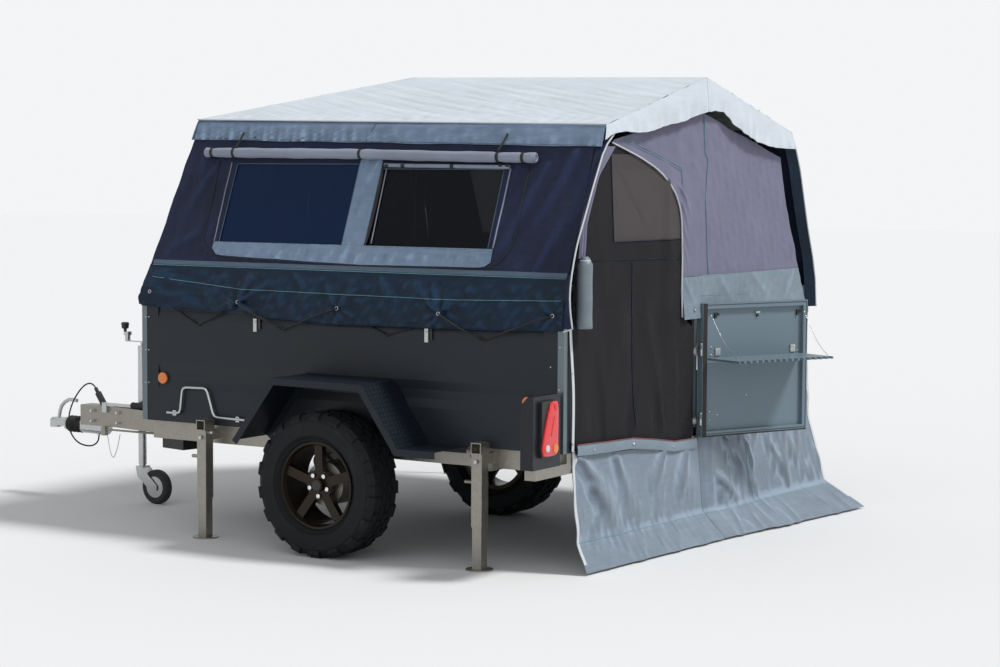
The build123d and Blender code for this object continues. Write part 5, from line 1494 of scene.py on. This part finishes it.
# Door flap, rolled to the left of the doorway
z, u = down(30, 2.070, 1.530), across(14)
outer = follow(z, [(2.070, 0.330), (1.929, 0.440), (1.694, 0.570), (1.530, 0.605)])
inner = follow(z, [(2.070, 0.240), (1.929, 0.395), (1.694, 0.520), (1.530, 0.560)])
x = REAR_X - 0.012 - 0.012 * smooth(1.75, 1.53, z) - 0.006 * np.sin(u * 11 + z * 3) * smooth(2.07, 1.7, z)
sheet = cloth("door_flap", grid(x, lerp(outer, inner, u), z), LILAC, "root", "lilac_cloth")
DOOR_ROLL_RADIUS, TIE_RADIUS, TIE_Z = 0.0375, 0.0245, 1.520
i = np.arange(41)
t, ripple = i / 40, np.sin(i * 0.3)
y = 0.592 + 0.002 * np.sin(i * 0.12) + 0.006 * t
line = grid(REAR_X - 0.049 + 0.001 * ripple, y, lerp(1.198, 1.540, t))
radii = DOOR_ROLL_RADIUS * (1 + 0.004 * ripple) * (1 - 0.55 * smooth(0.88, 1.0, t))
trim("door_flap_roll", DOOR_ROLL, "root", "roll_cloth", (line, radii, 26))
hollow = Shape()
hollow.ring((*line[0][:2], 1.1985), (0, 0, -1), 0.0330, 0.0045, 24, 8)
hollow.piece("door_roll_edge", DOOR_ROLL, "root", "roll_cloth", soft=True)
# A black disc fills the roll's open end: painted shade for the dark inside of the roll.
hollow = Shape()
hollow.disc((*line[0][:2], 1.1990), (0, 0, -1), 0.0300, 0.0020, 24)
hollow.piece("door_roll_hollow", WEBBING, "root", "dark_cloth", soft=True)
t = np.linspace(0, 2 * math.pi, 21)
tied = grid(line[37][0] + TIE_RADIUS * np.sin(t), line[37][1] + TIE_RADIUS * np.cos(t), TIE_Z)
tie_end = [(REAR_X - 0.055, 0.570, TIE_Z), (REAR_X - 0.045, 0.545, TIE_Z + 0.008)]
trim("door_roll_tie", PIPING, "root", "roof_cloth", (tied, 0.0038, 6), (tie_end, 0.0038, 6))

# Lower edge, clear window and studs of the mesh door
MESH_SEAMS = (
    DOOR_WINDOW, [(0.60, 1.520), (-0.480, 1.500)], [(0.05, 1.50), (0.02, 0.66)],
)
MESH_FOOT = [
    (0.603, 0.630), (0.300, 0.617), (0.040, 0.608), (-0.200, 0.578), (-0.405, 0.547), (-0.640, 0.540),
]
seams = [(mesh_surface(*finely(line).T) - (0.0028, 0, 0), 0.0020, 6) for line in MESH_SEAMS]
trim("mesh_door_seams", SKIRT, "root", "dark_cloth", *seams)
y, v = lerp(0.603, -0.660, across(50)), down(5)
z = follow(y, MESH_FOOT) - 0.052 * v
points = grid(TUB_REAR - 0.0255 - 0.004 * np.sin(math.pi * v), y, z)
sheet = cloth("doorway_foot_band", points[::-1, ::-1], REAR_BAND, "root", "ground_cloth")
line = [(TUB_REAR - 0.028, y, z + 0.002) for y, z in finely(MESH_FOOT)]
trim("doorway_foot_piping", RED_PIPING, "root", "dark_cloth", (line, 0.0028, 6))

# Light edge strips, seams and studs of the ground aprons
STRIP_WIDTH = 0.022
line = finely([(0.658, 1.190), (0.640, 0.900), (0.628, 0.600)], 0.03)
y, z = line[:, :1], line[:, 1:]
strip = grid(REAR_X - 0.006 - 0.004 * np.sin(z * 9), y - STRIP_WIDTH * np.array([0, 0.5, 1]), z)
sheet = cloth("edge_strip_upper", strip, PIPING, "root", "roof_cloth", thick=STRIP_CLOTH)
studs = Shape()
for y, z in ((0.640, 0.982), (0.630, 0.640)):
    studs.dome((REAR_X - 0.008, y, z), (-1, 0, 0), 0.0080, 0.005)
for y, z in ((0.443, 0.594), (0.043, 0.580), (-0.382, 0.525)):
    studs.dome((TUB_REAR - 0.0305, y, z), (-1, 0, 0), 0.0080, 0.005)
studs.piece("doorway_studs", ZINC, "root", "zinc", soft=True)
studs = Shape()
studs.dome((REAR_X - 0.026, -0.613, 1.222), (-1, 0, 0), 0.009, 0.005)
studs.piece("gable_stud", ZINC, "root", "zinc", soft=True)


def apron_line(surface, u_from, u_to, v_from, v_to, count, lift):
    """Points along a straight run over an apron's grid."""
    rows, columns = surface.shape[:2]
    points = []
    for t in np.linspace(0, 1, count):
        r = min(rows - 1.001, lerp(v_from, v_to, t) * (rows - 1))
        c = min(columns - 1.001, lerp(u_from, u_to, t) * (columns - 1))
        r0, c0 = int(r), int(c)
        near, far = lerp(surface[r0 : r0 + 2, c0], surface[r0 : r0 + 2, c0 + 1], c - c0)
        points.append(lerp(near, far, r - r0) - np.array([lift, 0, 0]))
    return points


# Apron, its squash, height share of its seam, and the columns its edge strip lies between
APRON_EDGES = {
    "left": (left_apron, LEFT_FALL, 0.76, (0.0, 0.016)),
    "right": (right_apron, RIGHT_FALL, 0.84, (0.985, 1.0)),
}
for side in SIDES:
    surface, fall, v_seam, edge_columns = APRON_EDGES[side]
    seam = Shape()
    seam.tube(apron_line(surface, 0.0, 1.0, v_seam, v_seam, 90, 0.0022), 0.0018, 5)
    if side == "right":
        seam.tube(apron_line(surface, 0.36, 0.38, 0.02, v_seam, 50, 0.0022), 0.0014, 5)
    fold_away(seam.piece("ground_apron_seam_" + side, THREAD, BODY[side], "ground_cloth"), **fall)
    one, two = [np.array(apron_line(surface, u, u, 0.0, 0.93, 50, 0.0028)) for u in edge_columns]
    strip = np.stack([one, (one + two) / 2, two], axis=1)
    sheet = cloth(
        "ground_apron_edge_" + side, strip, PIPING, BODY[side], "roof_cloth", thick=STRIP_CLOTH, squash=fall,
    )


# Fastenings and fittings of the tub

SIDE_RIVETS = [
    (1.319, 1.151), (1.297, 1.152), (1.320, 0.973), (1.299, 0.974), (1.322, 0.795), (1.300, 0.797),
    (-1.276, 1.108), (-1.224, 1.010), (-1.272, 0.903), (-1.272, 0.700),
]
rivets = Shape()
for out in (1, -1):
    for x, z in SIDE_RIVETS:
        rivets.dome((x, out * 0.6975, z), (0, out, 0), 0.0046, 0.003)
    for z in (0.70, 0.88, 1.06):
        rivets.dome((1.3435, out * 0.655, z), (1, 0, 0), 0.0046, 0.003)
rivets.piece("tub_rivets", ZINC, "root", "zinc")

grip = Shape()
line = [(lerp(1.798, 1.984, i / 30), 0.060, 0.572) for i in range(31)]
grip.tube(line, [0.0204 if i % 4 < 2 else 0.0192 for i in range(31)], 18)
sharp(grip.piece("handbrake_grip", RUBBER, "root", "rubber"), 30)

knob = Shape()
KNOB = [(0.990, 0.009), (1.012, 0.009), (1.016, 0.020), (1.046, 0.024), (1.052, 0.017)]
knob.tube([(2.088, 0, z) for z, radius in KNOB], [radius for z, radius in KNOB], 16)
sharp(knob.piece("jockey_crank_knob", BLACK_PLASTIC, "root", "black_plastic"), 30)

bolts = Shape()
for x in (1.78, 2.10, 2.30):
    for z in (0.462, 0.522):
        for out in (1, -1):
            bolts.disc((x, out * 0.064, z), (0, out, 0), 0.010, 0.008, 6)
sharp(bolts.piece("drawbar_bolts", ZINC, "root", "zinc"))

wire = Shape()
BREAKAWAY_LOOP = [
    (2.213, 0.020, 0.380), (2.190, 0.030, 0.300), (2.160, 0.034, 0.238), (2.130, 0.030, 0.300),
    (2.115, 0.020, 0.392),
]
wire.tube(rounded(BREAKAWAY_LOOP, 3), 0.0022, 6)
wire.piece("breakaway_wire", ZINC, "root", "zinc")

# Tail lamps: a leaning lens over the black base, with its round and three-cornered fields
LENS = [
    (0.800, 0.862), (0.840, 0.866), (0.868, 0.848), (0.934, 0.668), (0.932, 0.622), (0.912, 0.606),
    (0.806, 0.606), (0.794, 0.620), (0.792, 0.700), (0.790, 0.840),
]
LENS_STEPS = ((1.0, -1.3175), (1.0, -1.3240), (0.95, -1.3275), (0.80, -1.3290), (0.4, -1.3300))
LENS_FACE = -1.3285
TRIANGLE = [(0.866, 0.700), (0.812, 0.700), (0.836, 0.800)]
BACKWARDS = (-1, 0, 0)


def lens_rows(outline, steps, out):
    """Rows of a lens: its outline at each step's size and x, facing backwards on either side."""
    outline = np.array(outline)
    middle = outline.mean(axis=0)
    rows = [[(x, out * y, z) for y, z in lerp(middle, outline, size)] for size, x in steps]
    return [row[::-1] for row in rows] if out > 0 else rows


red, amber, clear, lamp_studs = Shape(), Shape(), Shape(), Shape()
for out in (1, -1):
    red.rows(lens_rows(rounded([*LENS, LENS[0]])[:-1], LENS_STEPS, out), closed=True, caps=True)
    amber.disc((LENS_FACE, out * 0.822, 0.640), BACKWARDS, 0.023, 0.005, 20, 0.3)
    clear.disc((LENS_FACE, out * 0.895, 0.645), BACKWARDS, 0.017, 0.005, 20, 0.3)
    red.disc((-1.3290, out * 0.820, 0.835), BACKWARDS, 0.015, 0.004, 20, 0.3)
    red.rows(lens_rows(TRIANGLE, ((1.0, LENS_FACE), (0.94, -1.3330)), out), closed=True, caps=True)
    for z in (0.64, 0.83):
        lamp_studs.dome((-1.3005, out * 0.763, z), BACKWARDS, 0.005, 0.004)
sharp(red.piece("tail_lamp_lenses", RED, "root", "red_lens"), 30)
sharp(amber.piece("turn_lamp_fields", AMBER, "root", "amber_lens"), 30)
sharp(clear.piece("clear_lamp_fields", CLEAR, "root", "red_lens"), 30)
lamp_studs.piece("lamp_screws", ZINC, "root", "zinc")

# Clamp screws and foot plates' bolts of the legs
screws = Shape()
for x, inwards in ((0.865, -1), (-0.860, 1)):
    for out in (1, -1):
        screws.disc((x, out * 0.790, 0.535), (0, out, 0), 0.011, 0.008, 6)
        screws.disc((x + 0.030 * inwards, out * 0.752, 0.560), (inwards, 0, 0), 0.011, 0.022, 6)
sharp(screws.piece("leg_clamp_screws", ZINC, "root", "zinc"))

# Wheel nuts, centre caps, tread blocks and sidewall ribs
WHEEL_Y, WHEEL_Z, NUT_CIRCLE, TREAD_RADIUS = 0.836, 0.3675, 0.056, 0.3610
NUTS, NUT_Y, CAP_Y = 5, 0.9135, 0.9275
RIB_RADII, RIB_STAND = (0.232, 0.300), 0.1175
# Across the tread: place, half width, shift along by a share of a block
TREAD_ROWS = ((-0.062, 0.030, 0), (-0.021, 0.019, 0.5), (0.021, 0.019, 0), (0.062, 0.030, 0.5))
TREAD_BLOCKS = 30
for side in SIDES:
    out, body = OUT[side], "wheel_" + side
    nuts, cap, tread, ribs = Shape(), Shape(), Shape(), Shape()
    for k in range(NUTS):
        turn = 2 * math.pi * (k + 0.5) / NUTS
        place = (NUT_CIRCLE * math.sin(turn), out * NUT_Y, WHEEL_Z + NUT_CIRCLE * math.cos(turn))
        nuts.disc(place, (0, out, 0), 0.0115, 0.006, 12, 0.4)
    sharp(nuts.piece("wheel_nuts_" + side, CHROME, body, "zinc"), 30)
    cap.disc((0, out * CAP_Y, WHEEL_Z), (0, out, 0), 0.026, 0.0035, 24, 0.25)
    sharp(cap.piece("wheel_cap_" + side, BLACK_PLASTIC, body, "black_plastic"), 30)
    for row_y, half_wide, shift in TREAD_ROWS:
        slant = math.copysign(0.35, row_y)
        for k in range(TREAD_BLOCKS):
            turn = 2 * math.pi * (k + shift) / TREAD_BLOCKS
            radial = np.array([math.sin(turn), 0, math.cos(turn)])
            rolling = np.array([math.cos(turn), 0, -math.sin(turn)])
            centre = np.array([0, out * (WHEEL_Y + row_y), WHEEL_Z]) + radial * TREAD_RADIUS
            width = np.array([0, half_wide * 0.62, 0]) + rolling * 0.010 * slant
            tread.block(centre, rolling * 0.027, width, radial * 0.0060)
    sharp(tread.piece("tread_blocks_" + side, TYRE, body, "tyre"), 30)
    for face in (1, -1):
        for radius in RIB_RADII:
            place = (0, out * (WHEEL_Y + face * RIB_STAND), WHEEL_Z)
            ribs.ring(place, (0, out * face, 0), radius, 0.0030, 64, 6)
    ribs.piece("sidewall_ribs_" + side, TYRE, body, "tyre")


# Fastenings of the tailgate, in the leaf's own frame: out of the leaf, along it from the hinge, and up

GATE_HINGE = (TUB_REAR - 0.040, 0.022 - TUB_SIDE)
GATE_TURN = math.radians(156)
GATE_MIDDLE_Z, GATE_MIDDLE = 0.8975, 0.378
CATCH_Z, SHELF_END_Z, STAY_SAG = 1.186, 0.966, 0.030


def gate(out, along, up):
    return (
        GATE_HINGE[0] + out * math.cos(GATE_TURN) - along * math.sin(GATE_TURN),
        GATE_HINGE[1] + out * math.sin(GATE_TURN) + along * math.cos(GATE_TURN),
        up,
    )


GATE_OUT, GATE_ALONG = [np.array(gate(*way, 0)) - np.array(gate(0, 0, 0)) for way in ((1, 0), (0, 1))]
GATE_SCREWS = [
    (0.083, 1.018), (0.083, 0.975), (0.145, 1.003), (0.075, 0.675), (0.130, 0.655), (0.075, 0.630),
    (0.690, 0.975), (0.330, 0.752),
]


def gate_block(shape, place, out, along, up):
    """A block on the leaf from its middle and three half sizes."""
    shape.block(gate(*place), GATE_OUT * out, GATE_ALONG * along, np.array([0, 0, 1.0]) * up)


silver, dark, seal, lines = Shape(), Shape(), Shape(), Shape()
for along in (0.127, 0.655):
    gate_block(silver, (-0.0165, along, 0.992), 0.0020, 0.017, 0.020)
    silver.disc(gate(-0.0145, along - 0.008, 1.000), GATE_OUT, 0.004, 0.003)
    silver.disc(gate(-0.0145, along + 0.008, 1.000), GATE_OUT, 0.004, 0.003)
for along, up in GATE_SCREWS:
    silver.dome(gate(-0.0195, along, up), GATE_OUT, 0.0055, 0.004)
for along in (0.107, 0.683):
    gate_block(dark, (-0.0148, along, CATCH_Z), 0.0048, 0.006, 0.014)
    dark.disc(gate(-0.019, along + 0.018, 1.192), GATE_OUT, 0.007, 0.008)
gate_block(silver, (-0.0152, 0.400, 1.196), 0.0046, 0.014, 0.005)
dark.disc(gate(-0.019, 0.400, 1.178), GATE_OUT, 0.007, 0.008)
for along in (0.066, 0.722):
    silver.dome(gate(-0.002, along, CATCH_Z), GATE_OUT, 0.0070, 0.006)
gate_block(seal, (0.0015, 0.0265, GATE_MIDDLE_Z), 0.0015, 0.0125, 0.355)
gate_block(seal, (-0.0130, GATE_MIDDLE, 0.5445), 0.0160, 0.364, 0.0032)
for along in (0.022, 0.738):
    gate_block(lines, (0.0006, along, GATE_MIDDLE_Z), 0.0008, 0.0010, 0.350)
for up in (1.2440, 0.5560):
    gate_block(lines, (0.0006, GATE_MIDDLE, up), 0.0008, 0.360, 0.0012)
sharp(silver.piece("tailgate_hardware", ZINC, "tailgate", "zinc"))
sharp(dark.piece("tailgate_catches", BLACK_PLASTIC, "tailgate", "black_plastic"))
sharp(seal.piece("tailgate_seal", RUBBER, "tailgate", "rubber"))
sharp(lines.piece("tailgate_edge_lines", BLACK_SHEET, "tailgate", "black_sheet"))

pin_heads = Shape()
for z in (0.640, 1.010):
    for low, high in ((z - 0.033, z - 0.0255), (z + 0.0265, z + 0.034)):
        pin_heads.tube([(*GATE_HINGE, low), (*GATE_HINGE, high)], 0.0065, 14)
sharp(pin_heads.piece("hinge_pin_heads", ZINC, "root", "zinc"))

for name, along, along_shelf in (("near", 0.066, 0.062), ("far", 0.722, 0.688)):
    start, end = np.array(gate(0.004, along, CATCH_Z)), np.array(gate(0.232, along_shelf, SHELF_END_Z))
    stay = Shape()
    sagging = [lerp(start, end, t) - (0, 0, STAY_SAG * math.sin(math.pi * t)) for t in np.linspace(0, 1, 25)]
    stay.tube(sagging, 0.0013, 6)
    thing = stay.piece("shelf_stay_" + name, ZINC, None, "zinc")
    at(*start)
    at(*end)
    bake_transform(thing)
